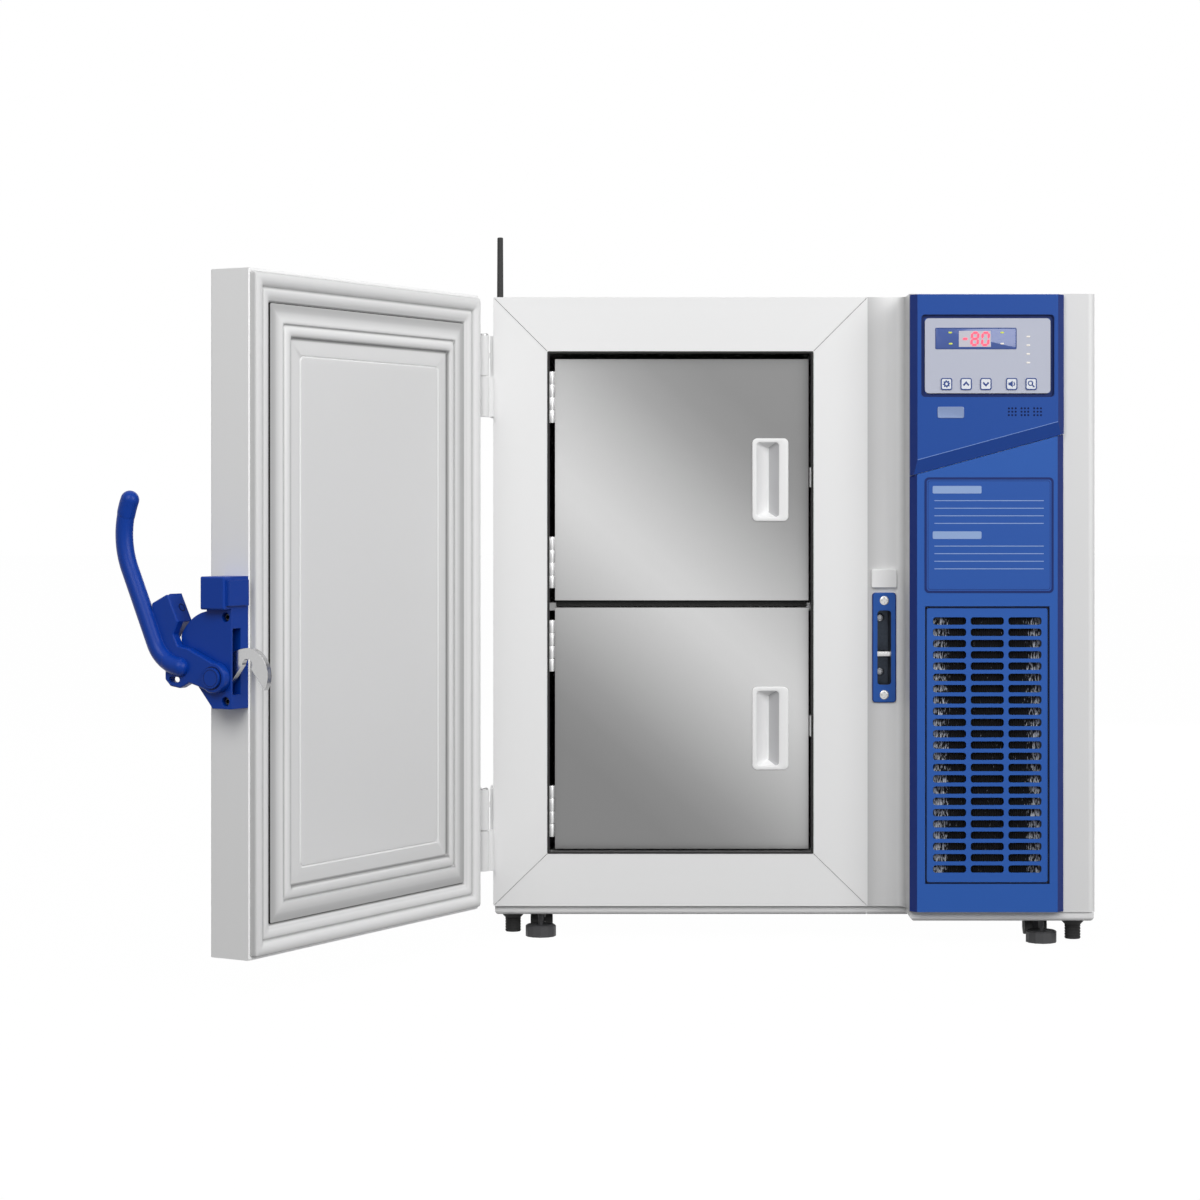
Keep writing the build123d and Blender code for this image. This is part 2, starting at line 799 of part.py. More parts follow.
# Compressor: a domed steel shell on a foot plate
compressor_x = panel_middle
compressor_y = cabinet_depth - compressor_inset
shell_low = tray_top + compressor_foot
shell_high = shell_low + compressor_height
with BuildPart() as compressor:
    with BuildSketch(Plane.XY.offset(tray_top)):
        with Locations((compressor_x, compressor_y)):
            RectangleRounded(compressor_foot_width, compressor_foot_depth, compressor_foot)
    extrude(amount=compressor_foot)
    with BuildSketch(Plane.XY.offset(shell_low)):
        with Locations((compressor_x, compressor_y)):
            Circle(compressor_radius)
    extrude(amount=compressor_height)
    rims = compressor.edges().filter_by(GeomType.CIRCLE).sort_by(Axis.Z)
    fillet(rims[-1], compressor_dome)
write(compressor.part, "compressor")

# Refrigerant lines: discharge to the condenser, and suction back from the chamber wall
line_top = shell_high + pipe_rise
condenser_side = condenser_width / 2 + tube_radius + sheet / 2
tube_end_x = panel_middle - condenser_side - pipe_radius - running_clearance
discharge = [
    (compressor_x - compressor_port, compressor_y, shell_high),
    (compressor_x - compressor_port, compressor_y, line_top),
    (tube_end_x, compressor_y, line_top),
    (tube_end_x, condenser_y, line_top),
    (tube_end_x, condenser_y, grille_middle - tube_pitch),
]
suction = [
    (compressor_x + compressor_port, compressor_y, shell_high),
    (compressor_x + compressor_port, compressor_y, line_top + pipe_rise),
    (compressor_x + compressor_port, back_inside - pipe_rise, line_top + pipe_rise),
    (frame_right, back_inside - pipe_rise, line_top + pipe_rise),
]
with BuildPart() as refrigerant_lines:
    for route in (discharge, suction):
        with BuildLine() as pipe_path:
            FilletPolyline(*route, radius=pipe_bend)
        with BuildSketch(Plane(origin=pipe_path.line @ 0, z_dir=pipe_path.line % 0)) as pipe_end:
            Circle(pipe_radius)
        sweep(sections=pipe_end.sketch, path=pipe_path.line)
write(refrigerant_lines.part, "refrigerant_lines")

# Mains inlet in the rear panel
with BuildPart() as power_inlet:
    with BuildSketch(front_plane(cabinet_depth)):
        with Locations((inlet_x, inlet_z)):
            RectangleRounded(inlet_width + 2 * inlet_flange, inlet_height + 2 * inlet_flange, inlet_flange)
    extrude(amount=-inlet_wall)
    with BuildSketch(front_plane(cabinet_depth)):
        with Locations((inlet_x, inlet_z)):
            Rectangle(inlet_width, inlet_height)
    extrude(amount=inlet_depth)
    with BuildSketch(front_plane(cabinet_depth + inlet_wall)):
        with Locations((inlet_x, inlet_z)):
            Rectangle(inlet_width - 2 * inlet_wall, inlet_height - 2 * inlet_wall)
    extrude(amount=inlet_depth, mode=Mode.SUBTRACT)
write(power_inlet.part, "power_inlet")

# Strike: slotted plate, pocket behind it and the cross pin that the hook takes
with BuildPart() as strike_plate:
    with BuildSketch(front_plane(0)):
        with Locations((strike_x, strike_middle)):
            RectangleRounded(strike_width, strike_height, strike_corner)
            RectangleRounded(strike_slot_width, strike_slot_height, strike_corner, mode=Mode.SUBTRACT)
    extrude(amount=strike_thickness)
    fillet(strike_plate.faces().sort_by(Axis.Y)[0].outer_wire().edges(), sheet)
write(strike_plate.part, "strike_plate")

with BuildPart() as strike_box:
    with BuildSketch(front_plane(0)):
        with Locations((strike_x, strike_middle)):
            Rectangle(strike_box_width, strike_box_height)
    extrude(amount=-strike_depth)
    with BuildSketch(front_plane(0)):
        with Locations((strike_x, strike_middle)):
            Rectangle(strike_slot_width, strike_slot_height)
    extrude(amount=-(strike_depth - strike_wall), mode=Mode.SUBTRACT)
    with BuildSketch(Plane.YZ.offset(strike_x - strike_box_width / 2)):
        with Locations((pin_depth, pin_height)):
            Circle(pin_radius)
    extrude(amount=strike_box_width, mode=Mode.SUBTRACT)
write(strike_box.part, "strike_box")

with BuildPart() as strike_pin:
    with BuildSketch(Plane.YZ.offset(strike_x - strike_box_width / 2)):
        with Locations((pin_depth, pin_height)):
            Circle(pin_radius)
    extrude(amount=strike_box_width)
write(strike_pin.part, "strike_pin")

# Door sensor above the strike
sensor_low = strike_middle + strike_height / 2 + sensor_gap
with BuildPart() as door_sensor:
    with BuildSketch(front_plane(0)):
        with Locations((strike_x, sensor_low + sensor_height / 2)):
            RectangleRounded(sensor_width, sensor_height, key_corner)
    extrude(amount=sensor_thickness)
    fillet(door_sensor.faces().sort_by(Axis.Y)[0].edges(), key_proud)
write(door_sensor.part, "door_sensor")

# Outer door shell: a folded pan, open towards the cabinet
with BuildPart() as door_shell:
    with BuildSketch(on_door(front_plane(0))):
        with Locations((door_middle_x, door_middle_z)):
            Rectangle(door_width, door_height)
    extrude(amount=door_thickness)
    outer_face = door_shell.faces().filter_by(Plane(door_frame.origin, z_dir=-door_frame.y_dir))
    far_side = outer_face.sort_by(Axis(door_frame.origin, -door_frame.y_dir))[-1]
    fillet(far_side.edges(), door_edge)
    with BuildSketch(on_door(front_plane(0))):
        with Locations((door_middle_x, door_middle_z)):
            Rectangle(door_width - 2 * sheet, door_height - 2 * sheet)
    extrude(amount=door_thickness - sheet, mode=Mode.SUBTRACT)
write(door_shell.part, "door_shell")

# Foam core of the door
with BuildPart() as door_foam:
    with BuildSketch(on_door(front_plane(-liner_plate))):
        with Locations((door_middle_x, door_middle_z)):
            Rectangle(door_width - 2 * sheet, door_height - 2 * sheet)
    extrude(amount=door_thickness - sheet - liner_plate - door_edge)
write(door_foam.part, "door_foam")

# Door liner: a moulded plate with a stepped plug and a sunk middle panel
with BuildPart() as door_liner:
    with BuildSketch(on_door(front_plane(-liner_plate))):
        with Locations((door_middle_x, door_middle_z)):
            Rectangle(door_width - 2 * sheet, door_height - 2 * sheet)
    extrude(amount=-liner_plate)
    for level, margin in enumerate(plug_margins):
        with BuildSketch(on_door(front_plane(level * plug_step))):
            with Locations((door_middle_x, door_middle_z)):
                RectangleRounded(door_width - 2 * margin, door_height - 2 * margin, liner_plate)
        extrude(amount=-plug_step)
    plug_height = plug_step * len(plug_margins)
    with BuildSketch(on_door(front_plane(plug_height))):
        with Locations((door_middle_x, door_middle_z)):
            RectangleRounded(door_width - 2 * panel_margin, door_height - 2 * panel_margin, liner_plate)
    extrude(amount=panel_recess, mode=Mode.SUBTRACT, taper=-panel_recess_slope)
write(door_liner.part, "door_liner")

# Door gasket: a broad flange, a groove and a sealing bead around the plug
gasket_top = door_gap - gasket_clearance
gasket_inner = gasket_margin + gasket_width
gasket_rings = [
    (gasket_margin, gasket_inner - gasket_bead - sheet, gasket_flange_height),
    (gasket_margin, gasket_inner, gasket_groove_height),
    (gasket_inner - gasket_bead, gasket_inner, gasket_top),
]
with BuildPart() as door_gasket:
    for outer_margin, inner_margin, height in gasket_rings:
        with BuildSketch(on_door(front_plane(0))):
            with Locations((door_middle_x, door_middle_z)):
                RectangleRounded(
                    door_width - 2 * outer_margin, door_height - 2 * outer_margin, door_edge
                )
                Rectangle(
                    door_width - 2 * inner_margin, door_height - 2 * inner_margin, mode=Mode.SUBTRACT
                )
        extrude(amount=-height)
write(door_gasket.part, "door_gasket")

# Hinge leaves: the lower half of each hinge is on the cabinet with its pin, the upper half on the door
half_hinge = (hinge_length - knuckle_gap) / 2
with BuildPart() as cabinet_hinge_leaves:
    for low in hinge_heights:
        block(
            left - hinge_leaf, left, hinge_setback - door_gap, hinge_setback - door_gap + hinge_leaf_reach,
            low, low + hinge_length,
        )
        block(hinge_x, left, hinge_y, hinge_setback - door_gap, low, low + half_hinge)
        with Locations((hinge_x, hinge_y, low + half_hinge / 2)):
            Cylinder(hinge_radius, half_hinge)
        with Locations((hinge_x, hinge_y, low + hinge_length / 2)):
            Cylinder(hinge_pin_radius, hinge_length)
write(cabinet_hinge_leaves.part, "cabinet_hinge_leaves")

with BuildPart(door_frame) as door_hinge_leaves:
    for low in hinge_heights:
        start = low + half_hinge + knuckle_gap
        block(
            hinge_stand_off - hinge_leaf, hinge_stand_off, -hinge_leaf_reach, -hinge_setback + door_gap,
            low, low + hinge_length,
        )
        block(0, hinge_stand_off, -hinge_setback, 0, start, start + half_hinge)
        with Locations((0, 0, start + half_hinge / 2)):
            Cylinder(hinge_radius, half_hinge)
        with Locations((0, 0, low + hinge_length / 2)):
            Cylinder(hinge_pin_radius + running_clearance, 2 * hinge_length, mode=Mode.SUBTRACT)
write(door_hinge_leaves.part, "door_hinge_leaves")

# Lock body on the door's end face: a bulged case with a thicker head, and a slot for the hook
lock_x = door_latch_edge


def lock_plane(reach):
    """Upright plane across the lock, reach out from the door's end face, with the cabinet to the right."""
    local = Plane(origin=(lock_x + reach, 0, 0), x_dir=(0, 1, 0), z_dir=(1, 0, 0))
    return on_door(local)


def from_pivot(point):
    """A point given from the lever's pivot, in the lock's upright plane."""
    return (point[0] - pivot_depth, point[1] + pivot_height)


hook_start = lock_thickness - lock_wall - hook_side_gap - hook_thickness
head_middle = ((lock_neck + lock_right) / 2, (lock_head_low + lock_high) / 2)
lock_neck_corner = (lock_neck, lock_neck_low)
lock_upper = [(lock_right, lock_low), (lock_right, lock_high), (lock_neck, lock_high), lock_neck_corner]
slot_middle = (lock_right - lock_slot_depth / 2, (lock_slot_high - lock_slot_low) / 2)
with BuildPart() as lock_body:
    with BuildSketch(lock_plane(0)):
        with BuildLine():
            Polyline(*[from_pivot(point) for point in [*lock_upper, lock_crown]])
            ThreePointArc(from_pivot(lock_crown), from_pivot(lock_cheek), from_pivot(lock_jowl))
            chin = [lock_jowl, *lock_chin, (lock_right, lock_low)]
            Polyline(*[from_pivot(point) for point in chin])
        make_face()
    extrude(amount=lock_thickness)
    with BuildSketch(lock_plane(0)):
        with Locations(from_pivot(head_middle)):
            RectangleRounded(lock_right - lock_neck, lock_high - lock_head_low, lock_head_corner)
    extrude(amount=lock_head_thickness)
    head_face = lock_body.faces().sort_by(Axis(door_frame.origin, door_frame.x_dir))[-1]
    chamfer(head_face.edges(), lock_edge)
    with BuildSketch(lock_plane(lock_pad_margin)):
        with Locations(from_pivot((lock_right + lock_pad / 2, head_middle[1]))):
            Rectangle(lock_pad, lock_high - lock_head_low - 2 * lock_pad_margin)
    extrude(amount=lock_head_thickness - 2 * lock_pad_margin)
    with BuildSketch(lock_plane(hook_start - hook_side_gap)):
        with Locations(from_pivot(slot_middle)):
            Rectangle(lock_slot_depth, lock_slot_high + lock_slot_low)
    extrude(amount=hook_thickness + 2 * hook_side_gap, mode=Mode.SUBTRACT)
    with BuildSketch(lock_plane(lock_wall)):
        with Locations(from_pivot((0, 0))):
            Circle(shaft_radius + running_clearance)
    extrude(amount=lock_thickness, mode=Mode.SUBTRACT)
    with BuildSketch(lock_plane(lock_thickness)):
        with Locations(*[from_pivot(point) for point in lock_bolts]):
            Circle(lock_bolt_radius)
    extrude(amount=-lock_bolt_depth, mode=Mode.SUBTRACT)
write(lock_body.part, "lock_body")

# Lever shaft with its cap
lever_start = lock_thickness + lever_gap
with BuildPart() as lever_shaft:
    with BuildSketch(lock_plane(lock_wall + lever_gap)):
        with Locations(from_pivot((0, 0))):
            Circle(shaft_radius)
    extrude(amount=lever_start + lever_thickness - lock_wall - lever_gap)
    with BuildSketch(lock_plane(lever_start + lever_thickness)):
        with Locations(from_pivot((0, 0))):
            Circle(shaft_cap_radius)
    extrude(amount=shaft_cap)
write(lever_shaft.part, "lever_shaft")

# Latch hook: a sickle that closes round the strike pin when the lever is home
pin_reach = pin_depth + door_gap + pivot_depth
pin_rise = pin_height - pivot_height
lock_turn = math.radians(hook_lock_turn)
seat = (
    pin_reach * math.cos(lock_turn) - pin_rise * math.sin(lock_turn),
    pin_reach * math.sin(lock_turn) + pin_rise * math.cos(lock_turn),
)
seat_radius = pin_radius + hook_seat_clearance
mouth = math.radians(hook_mouth_angle)
seat_mouth = (seat[0] + seat_radius * math.cos(mouth), seat[1] + seat_radius * math.sin(mouth))
seat_inner = (seat[0] - seat_radius, seat[1])
seat_top = (seat[0], seat[1] + seat_radius)
hub_back = (-hook_hub * math.cos(math.pi / 4), hook_hub * math.sin(math.pi / 4))
with BuildPart() as latch_hook:
    with BuildSketch(lock_plane(hook_start)):
        with BuildLine():
            Line(from_pivot(hook_heel), from_pivot(seat_inner))
            ThreePointArc(from_pivot(seat_inner), from_pivot(seat_top), from_pivot(seat_mouth))
            Line(from_pivot(seat_mouth), from_pivot(hook_tip))
            ThreePointArc(from_pivot(hook_tip), from_pivot(hook_belly), from_pivot(hook_crown))
            ThreePointArc(from_pivot(hook_crown), from_pivot(hook_shoulder), from_pivot(hub_back))
            Line(from_pivot(hub_back), from_pivot(hook_heel))
        make_face()
        with Locations(from_pivot((0, 0))):
            Circle(hook_hub)
            Circle(shaft_radius, mode=Mode.SUBTRACT)
    extrude(amount=hook_thickness)
write(latch_hook.part, "latch_hook")

# Door lever: hub, arm, thick outer block and padlock ear in one casting with the curved round grip
with BuildPart() as door_lever:
    with BuildSketch(lock_plane(lever_start)) as arm_sketch:
        with BuildLine():
            arm_points = [(0, -lever_hub), *arm_lower, *arm_outer, *arm_inner, (0, lever_hub)]
            Polyline(*[from_pivot(point) for point in arm_points], close=True)
        make_face()
        fillet(arm_sketch.vertices(), lever_corner)
        with Locations(from_pivot((0, 0))):
            Circle(lever_hub)
    extrude(amount=lever_thickness)
    chamfer(door_lever.faces().sort_by(Axis(door_frame.origin, door_frame.x_dir))[-1].edges(), lever_edge)
    with BuildSketch(lock_plane(block_reach)):
        with BuildLine():
            Polyline(*[from_pivot(point) for point in [block_end, *block_outline]])
            ThreePointArc(from_pivot(block_outline[-1]), from_pivot(block_belly), from_pivot(block_end))
        make_face()
    extrude(amount=lever_start + lever_thickness / 2 - block_reach)
    with BuildSketch(lock_plane(lever_start)):
        with Locations(from_pivot((0, 0))):
            Circle(shaft_radius)
    extrude(amount=lever_thickness, mode=Mode.SUBTRACT)
    with BuildLine(lock_plane(grip_reach)) as grip_path:
        grip_arc = ThreePointArc(from_pivot(grip_top), from_pivot(grip_belly), from_pivot(grip_waist))
        grip_run = Line(from_pivot(grip_waist), from_pivot(grip_elbow))
        TangentArc(from_pivot(grip_elbow), from_pivot(grip_root), tangent=grip_run % 1)
    with BuildSketch(Plane(origin=grip_path.line @ 0, z_dir=grip_path.line % 0)) as grip_end:
        Circle(grip_radius)
    sweep(sections=grip_end.sketch, path=grip_path.line, transition=Transition.ROUND)
    for end in (0, 1):
        with Locations(Plane(origin=grip_path.line @ end, z_dir=grip_path.line % end)):
            Sphere(grip_radius + grip_end_swell)
    with BuildSketch(lock_plane(lever_start)):
        with Locations(from_pivot(padlock_slot_place)):
            SlotOverall(padlock_slot_length, padlock_slot_width)
    extrude(amount=lever_thickness, mode=Mode.SUBTRACT)
write(door_lever.part, "door_lever")

# Inner doors: a stainless pan with welded hinge knuckles, a foam core and a recessed pull each
inner_axis = (open_left + inner_knuckle_radius, inner_recess - inner_axis_proud)
inner_left = open_left + inner_hinge_gap
inner_right = open_right - inner_latch_gap
inner_height = (open_high - inner_top_gap - open_low - inner_bottom_gap - inner_middle_gap) / 2
inner_lows = {
    "upper": open_high - inner_top_gap - inner_height,
    "lower": open_low + inner_bottom_gap,
}
inner_back = inner_recess + inner_thickness
pull_x = inner_right - pull_from_latch
hinge_span = 4 * inner_knuckle
hinge_lows = {
    which: (low + inner_hinge_inset, low + inner_height - inner_hinge_inset - hinge_span)
    for which, low in inner_lows.items()
}
for which, low in inner_lows.items():
    high = low + inner_height
    pull_z = (low + high) / 2
    with BuildPart() as inner_door:
        block(inner_left, inner_right, inner_recess, inner_back, low, high)
        block(
            inner_left + inner_skin, inner_right - inner_skin, inner_recess + inner_skin, inner_back,
            low + inner_skin, high - inner_skin, mode=Mode.SUBTRACT,
        )
        with BuildSketch(front_plane(inner_recess)):
            with Locations((pull_x + pull_bowl_offset, pull_z)):
                RectangleRounded(pull_bowl_width, pull_bowl_height, pull_corner)
        extrude(amount=-inner_skin, mode=Mode.SUBTRACT)
        for hinge_low in hinge_lows[which]:
            for knuckle in (1, 3):
                start = hinge_low + knuckle * inner_knuckle
                with Locations((*inner_axis, start + inner_knuckle / 2)):
                    Cylinder(inner_knuckle_radius, inner_knuckle - running_clearance)
                block(
                    inner_axis[0], inner_left, inner_axis[1], inner_axis[1] + inner_knuckle_radius,
                    start + running_clearance / 2, start + inner_knuckle - running_clearance / 2,
                )
            with Locations((*inner_axis, hinge_low + hinge_span / 2)):
                Cylinder(inner_pin_radius + running_clearance, hinge_span, mode=Mode.SUBTRACT)
    write(inner_door.part, f"{which}_inner_door")
    with BuildPart() as inner_core:
        block(
            inner_left + inner_skin, inner_right - inner_skin, inner_recess + inner_skin, inner_back,
            low + inner_skin, high - inner_skin,
        )
        with BuildSketch(front_plane(inner_recess)):
            with Locations((pull_x + pull_bowl_offset, pull_z)):
                RectangleRounded(pull_bowl_width, pull_bowl_height, pull_corner)
        extrude(amount=-pull_bowl_depth, mode=Mode.SUBTRACT)
    write(inner_core.part, f"{which}_inner_core")
    with BuildPart() as inner_pull:
        with BuildSketch(front_plane(inner_recess)):
            with Locations((pull_x, pull_z)):
                RectangleRounded(pull_width, pull_height, pull_corner)
        extrude(amount=pull_rim)
        fillet(inner_pull.faces().sort_by(Axis.Y)[0].edges(), inner_skin)
        with BuildSketch(front_plane(inner_recess)):
            with Locations((pull_x + pull_bowl_offset, pull_z)):
                RectangleRounded(pull_bowl_width, pull_bowl_height, pull_corner)
        extrude(amount=-pull_bowl_depth)
        with BuildSketch(front_plane(inner_recess - pull_rim)):
            with Locations((pull_x + pull_bowl_offset, pull_z)):
                RectangleRounded(
                    pull_bowl_width - 2 * pull_bowl_wall, pull_bowl_height - 2 * pull_bowl_wall,
                    pull_corner - pull_bowl_wall,
                )
        extrude(amount=-(pull_rim + pull_bowl_depth - pull_bowl_wall), mode=Mode.SUBTRACT)
    write(inner_pull.part, f"{which}_inner_pull")

# Fixed leaves of the inner hinges, with their pins
with BuildPart() as inner_hinge_leaves:
    for lows in hinge_lows.values():
        for hinge_low in lows:
            for knuckle in (0, 2):
                start = hinge_low + knuckle * inner_knuckle
                with Locations((*inner_axis, start + inner_knuckle / 2)):
                    Cylinder(inner_knuckle_radius, inner_knuckle - running_clearance)
            with Locations((*inner_axis, hinge_low + hinge_span / 2)):
                Cylinder(inner_pin_radius, hinge_span - running_clearance)
            for knuckle in (0, 2):
                start = hinge_low + knuckle * inner_knuckle
                block(
                    open_left, open_left + inner_leaf, inner_axis[1], inner_axis[1] + inner_leaf_reach,
                    start + running_clearance / 2, start + inner_knuckle - running_clearance / 2,
                )
write(inner_hinge_leaves.part, "inner_hinge_leaves")

# Catches on the chamber's right wall, one beside each inner door
with BuildPart() as inner_door_catches:
    for low in inner_lows.values():
        middle = low + inner_height / 2 + catch_rise
        block(
            open_right - inner_latch_gap + catch_gap, open_right, inner_recess - catch_depth / 2,
            inner_recess + catch_depth / 2, middle - catch_height / 2, middle + catch_height / 2,
        )
write(inner_door_catches.part, "inner_door_catches")

# Antenna: a swivelling stem in the left side, and a whip that tilts in its fork
fork_reach = antenna_radius + antenna_ear
whip_x = left - fork_reach - antenna_nut
with BuildPart() as antenna_base:
    with BuildSketch(Plane.YZ.offset(left + sheet)):
        with Locations((antenna_y, antenna_z)):
            Circle(antenna_stem)
    extrude(amount=-sheet - running_clearance)
    with BuildSketch(Plane.YZ.offset(left - running_clearance)):
        with Locations((antenna_y, antenna_z)):
            RegularPolygon(antenna_nut, 6)
    extrude(amount=-antenna_nut)
    block(
        whip_x, left - antenna_nut, antenna_y - antenna_radius, antenna_y + antenna_radius,
        antenna_z - antenna_radius, antenna_z + antenna_radius,
    )
    with Locations(Location((whip_x, antenna_y, antenna_z), (90, 0, 0))):
        Cylinder(antenna_radius, 2 * antenna_radius)
        Cylinder(antenna_radius + antenna_ear, 2 * antenna_ear, mode=Mode.SUBTRACT)
        Cylinder(antenna_pin, 2 * antenna_radius)
write(antenna_base.part, "antenna_base")

with BuildPart() as antenna_whip:
    with Locations(Location((whip_x, antenna_y, antenna_z), (90, 0, 0))):
        Cylinder(antenna_radius, 2 * antenna_ear - 2 * running_clearance)
        Cylinder(antenna_pin + running_clearance, 2 * antenna_radius, mode=Mode.SUBTRACT)
    whip_low = antenna_z + antenna_radius + running_clearance
    with BuildSketch(Plane.XY.offset(antenna_z + antenna_pin + antenna_ear)):
        with Locations((whip_x, antenna_y)):
            Rectangle(2 * antenna_pin, 2 * antenna_ear - 2 * running_clearance)
    extrude(amount=whip_low + antenna_ear - antenna_z)
    with BuildSketch(Plane.XY.offset(whip_low)) as whip_foot:
        with Locations((whip_x, antenna_y)):
            Circle(antenna_radius)
    extrude(amount=antenna_length, taper=antenna_taper)
    fillet(antenna_whip.faces().sort_by(Axis.Z)[-1].edges(), antenna_pin)
write(antenna_whip.part, "antenna_whip")

# Levelling feet at the front: a faceted pad on a screw stem
for side, (x, y) in zip(("left", "right"), foot_spots):
    with BuildPart() as levelling_foot:
        with BuildSketch():
            with Locations((x, y)):
                RegularPolygon(foot_radius, foot_sides)
        extrude(amount=foot_height)
        chamfer(levelling_foot.faces().sort_by(Axis.Z)[-1].edges(), foot_edge)
        with BuildSketch(Plane.XY.offset(foot_height)):
            with Locations((x, y)):
                Circle(foot_stem_radius)
        extrude(amount=tray_top + foot_stem_top - foot_height)
    write(levelling_foot.part, f"{side}_levelling_foot")


def caster_body(x, y, axle_z, stem_top):
    """Fork of a twin-wheel caster: top plate, stem and the web that carries the axle."""
    plate_top = tray_low - fork_plate_gap
    with Locations((x, y, plate_top - fork_plate / 2)):
        Cylinder(fork_plate_radius, fork_plate)
    if stem_top > plate_top:
        with Locations((x, y, (plate_top + stem_top) / 2)):
            Cylinder(fork_stem_radius, stem_top - plate_top)
    block(
        x - fork_width / 2, x + fork_width / 2, y - axle_radius, y + caster_trail + 2 * axle_radius,
        axle_z - 2 * axle_radius, plate_top - fork_plate,
    )
    with Locations(Location((x, y + caster_trail, axle_z), (0, 90, 0))):
        Cylinder(axle_radius + running_clearance, 2 * fork_width, mode=Mode.SUBTRACT)


def caster_wheels(x, y, axle_z):
    """Twin wheels on one axle."""
    with Locations(Location((x, y + caster_trail, axle_z), (0, 90, 0))):
        Cylinder(axle_radius, fork_width + 2 * wheel_gap)
        for side in (-1, 1):
            with Locations((0, 0, side * (fork_width / 2 + wheel_gap + wheel_width / 2))):
                Cylinder(wheel_radius, wheel_width)


# Front casters swivel, and stand clear of the floor while the feet carry the cabinet
front_axle = wheel_radius + caster_lift
for side, (x, y) in zip(("left", "right"), caster_spots):
    with BuildPart() as caster_fork:
        caster_body(x, y, front_axle, tray_top)
    write(caster_fork.part, f"front_{side}_caster_fork")
    with BuildPart() as wheels:
        caster_wheels(x, y, front_axle)
    write(wheels.part, f"front_{side}_caster_wheels")

# Rear casters are rigid, and their wheels stand on the floor
rear_y = cabinet_depth - rear_caster_inset
rear_spots = {"left": (caster_spots[0][0], rear_y), "right": (caster_spots[1][0], rear_y)}
with BuildPart() as rear_caster_forks:
    for x, y in rear_spots.values():
        caster_body(x, y, wheel_radius, tray_low)
write(rear_caster_forks.part, "rear_caster_forks")
for side, (x, y) in rear_spots.items():
    with BuildPart() as wheels:
        caster_wheels(x, y, wheel_radius)
    write(wheels.part, f"rear_{side}_caster_wheels")

# Ribbed rubber buffers at the front corners
buffer_spots = [(left + buffer_inset, buffer_left_y), (right - buffer_inset, buffer_right_y)]
rib_pitch = (tray_low - buffer_cone - buffer_lift) / buffer_ribs
with BuildPart() as corner_buffers:
    for x, y in buffer_spots:
        with Locations((x, y, (buffer_lift + tray_low) / 2)):
            Cylinder(buffer_radius - buffer_rib_depth, tray_low - buffer_lift)
        with Locations((x, y, tray_low - buffer_cone / 2)):
            Cone(buffer_radius, buffer_flange, buffer_cone)
        for rib in range(buffer_ribs):
            with Locations((x, y, buffer_lift + (rib + 0.5) * rib_pitch)):
                Cylinder(buffer_radius, rib_pitch / 2)
write(corner_buffers.part, "corner_buffers")
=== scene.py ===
"""Looks of an undercounter ultra low temperature freezer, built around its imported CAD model."""

import math

import bmesh
import bpy
from bpy.props import FloatProperty, FloatVectorProperty, IntProperty, PointerProperty
from mathutils import Matrix, Vector


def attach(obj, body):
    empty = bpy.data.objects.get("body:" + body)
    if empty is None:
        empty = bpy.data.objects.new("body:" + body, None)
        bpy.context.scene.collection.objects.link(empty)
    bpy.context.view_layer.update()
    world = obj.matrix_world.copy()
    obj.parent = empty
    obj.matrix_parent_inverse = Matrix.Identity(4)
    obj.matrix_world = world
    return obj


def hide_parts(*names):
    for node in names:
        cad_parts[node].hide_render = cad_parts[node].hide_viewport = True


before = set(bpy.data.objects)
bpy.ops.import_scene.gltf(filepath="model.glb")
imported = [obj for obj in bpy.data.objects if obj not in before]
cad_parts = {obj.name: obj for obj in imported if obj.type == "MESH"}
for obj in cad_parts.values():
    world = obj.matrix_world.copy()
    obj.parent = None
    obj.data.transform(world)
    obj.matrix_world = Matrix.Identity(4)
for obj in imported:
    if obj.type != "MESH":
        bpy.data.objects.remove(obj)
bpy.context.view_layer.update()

bl_info = {
    "name": "Undercounter Freezer",
    "version": (1, 0, 0),
    "blender": (4, 5, 0),
    "location": "View3D > Sidebar > Freezer",
    "description": "Dresses the CAD freezer with its mouldings, seals, controls and finishes",
    "category": "Object",
}

MM = 0.001
CORNER_STEPS = 6
ROUND_STEPS = 24
SHARP_ANGLE = math.radians(32)
# Grey that painted shade blends towards, in folds and grooves
PAINTED_SHADE_GREY = (0.12, 0.12, 0.12)
PATCH_SCALE = 3.5
RELIEF_DEPTH = 0.0004
LEAST_ROUGHNESS = 0.02

# Slopes of a steel sheet's painted band of reflected light, across its width and up its height
BAND_SLOPES = (0.9267, 0.9642)

# Stops of (place, level): painted reflection away from the painted band, painted shade in from the door's
# edge, and the specks across the filter
PAINTED_BAND_TONES = [
    (0.0, 0.93), (0.1, 0.9), (0.3, 0.76), (0.44, 0.655), (0.66, 0.487), (0.82, 0.405), (1.0, 0.363),
]
LINING_GROOVE_SHADE = [
    (36, 0.5), (40, 0.48), (43, 0.4), (46, 0.22), (50, 0.08), (53, 0), (55, 0), (56.4, 0.24), (57.3, 0.66),
    (58.6, 0.3), (60, 0), (66, 0), (68.6, 0.1), (70, 0.6), (71.2, 0.84), (72.6, 0.6), (74, 0.1), (76, 0.06),
    (88.4, 0.06), (88.8, 0), (91.3, 0), (92, 0.04),
]
GASKET_GROOVE_SHADE = [
    (3.4, 0.5), (4.2, 0.3), (5.6, 0.12), (8, 0.05), (12, 0), (16, 0.04), (17.6, 0.18), (19, 0.52),
    (20.4, 0.3), (21.6, 0), (28, 0), (30.5, 0.1), (32.4, 0.02), (33.6, 0.45), (34.6, 0.6),
]
FILTER_SIDES = [
    (0.0, 0.3), (0.08, 0.24), (0.12, 0.2), (0.17, 0.04),
    (0.84, 0.04), (0.89, 0.16), (0.93, 0.22), (1.0, 0.3),
]

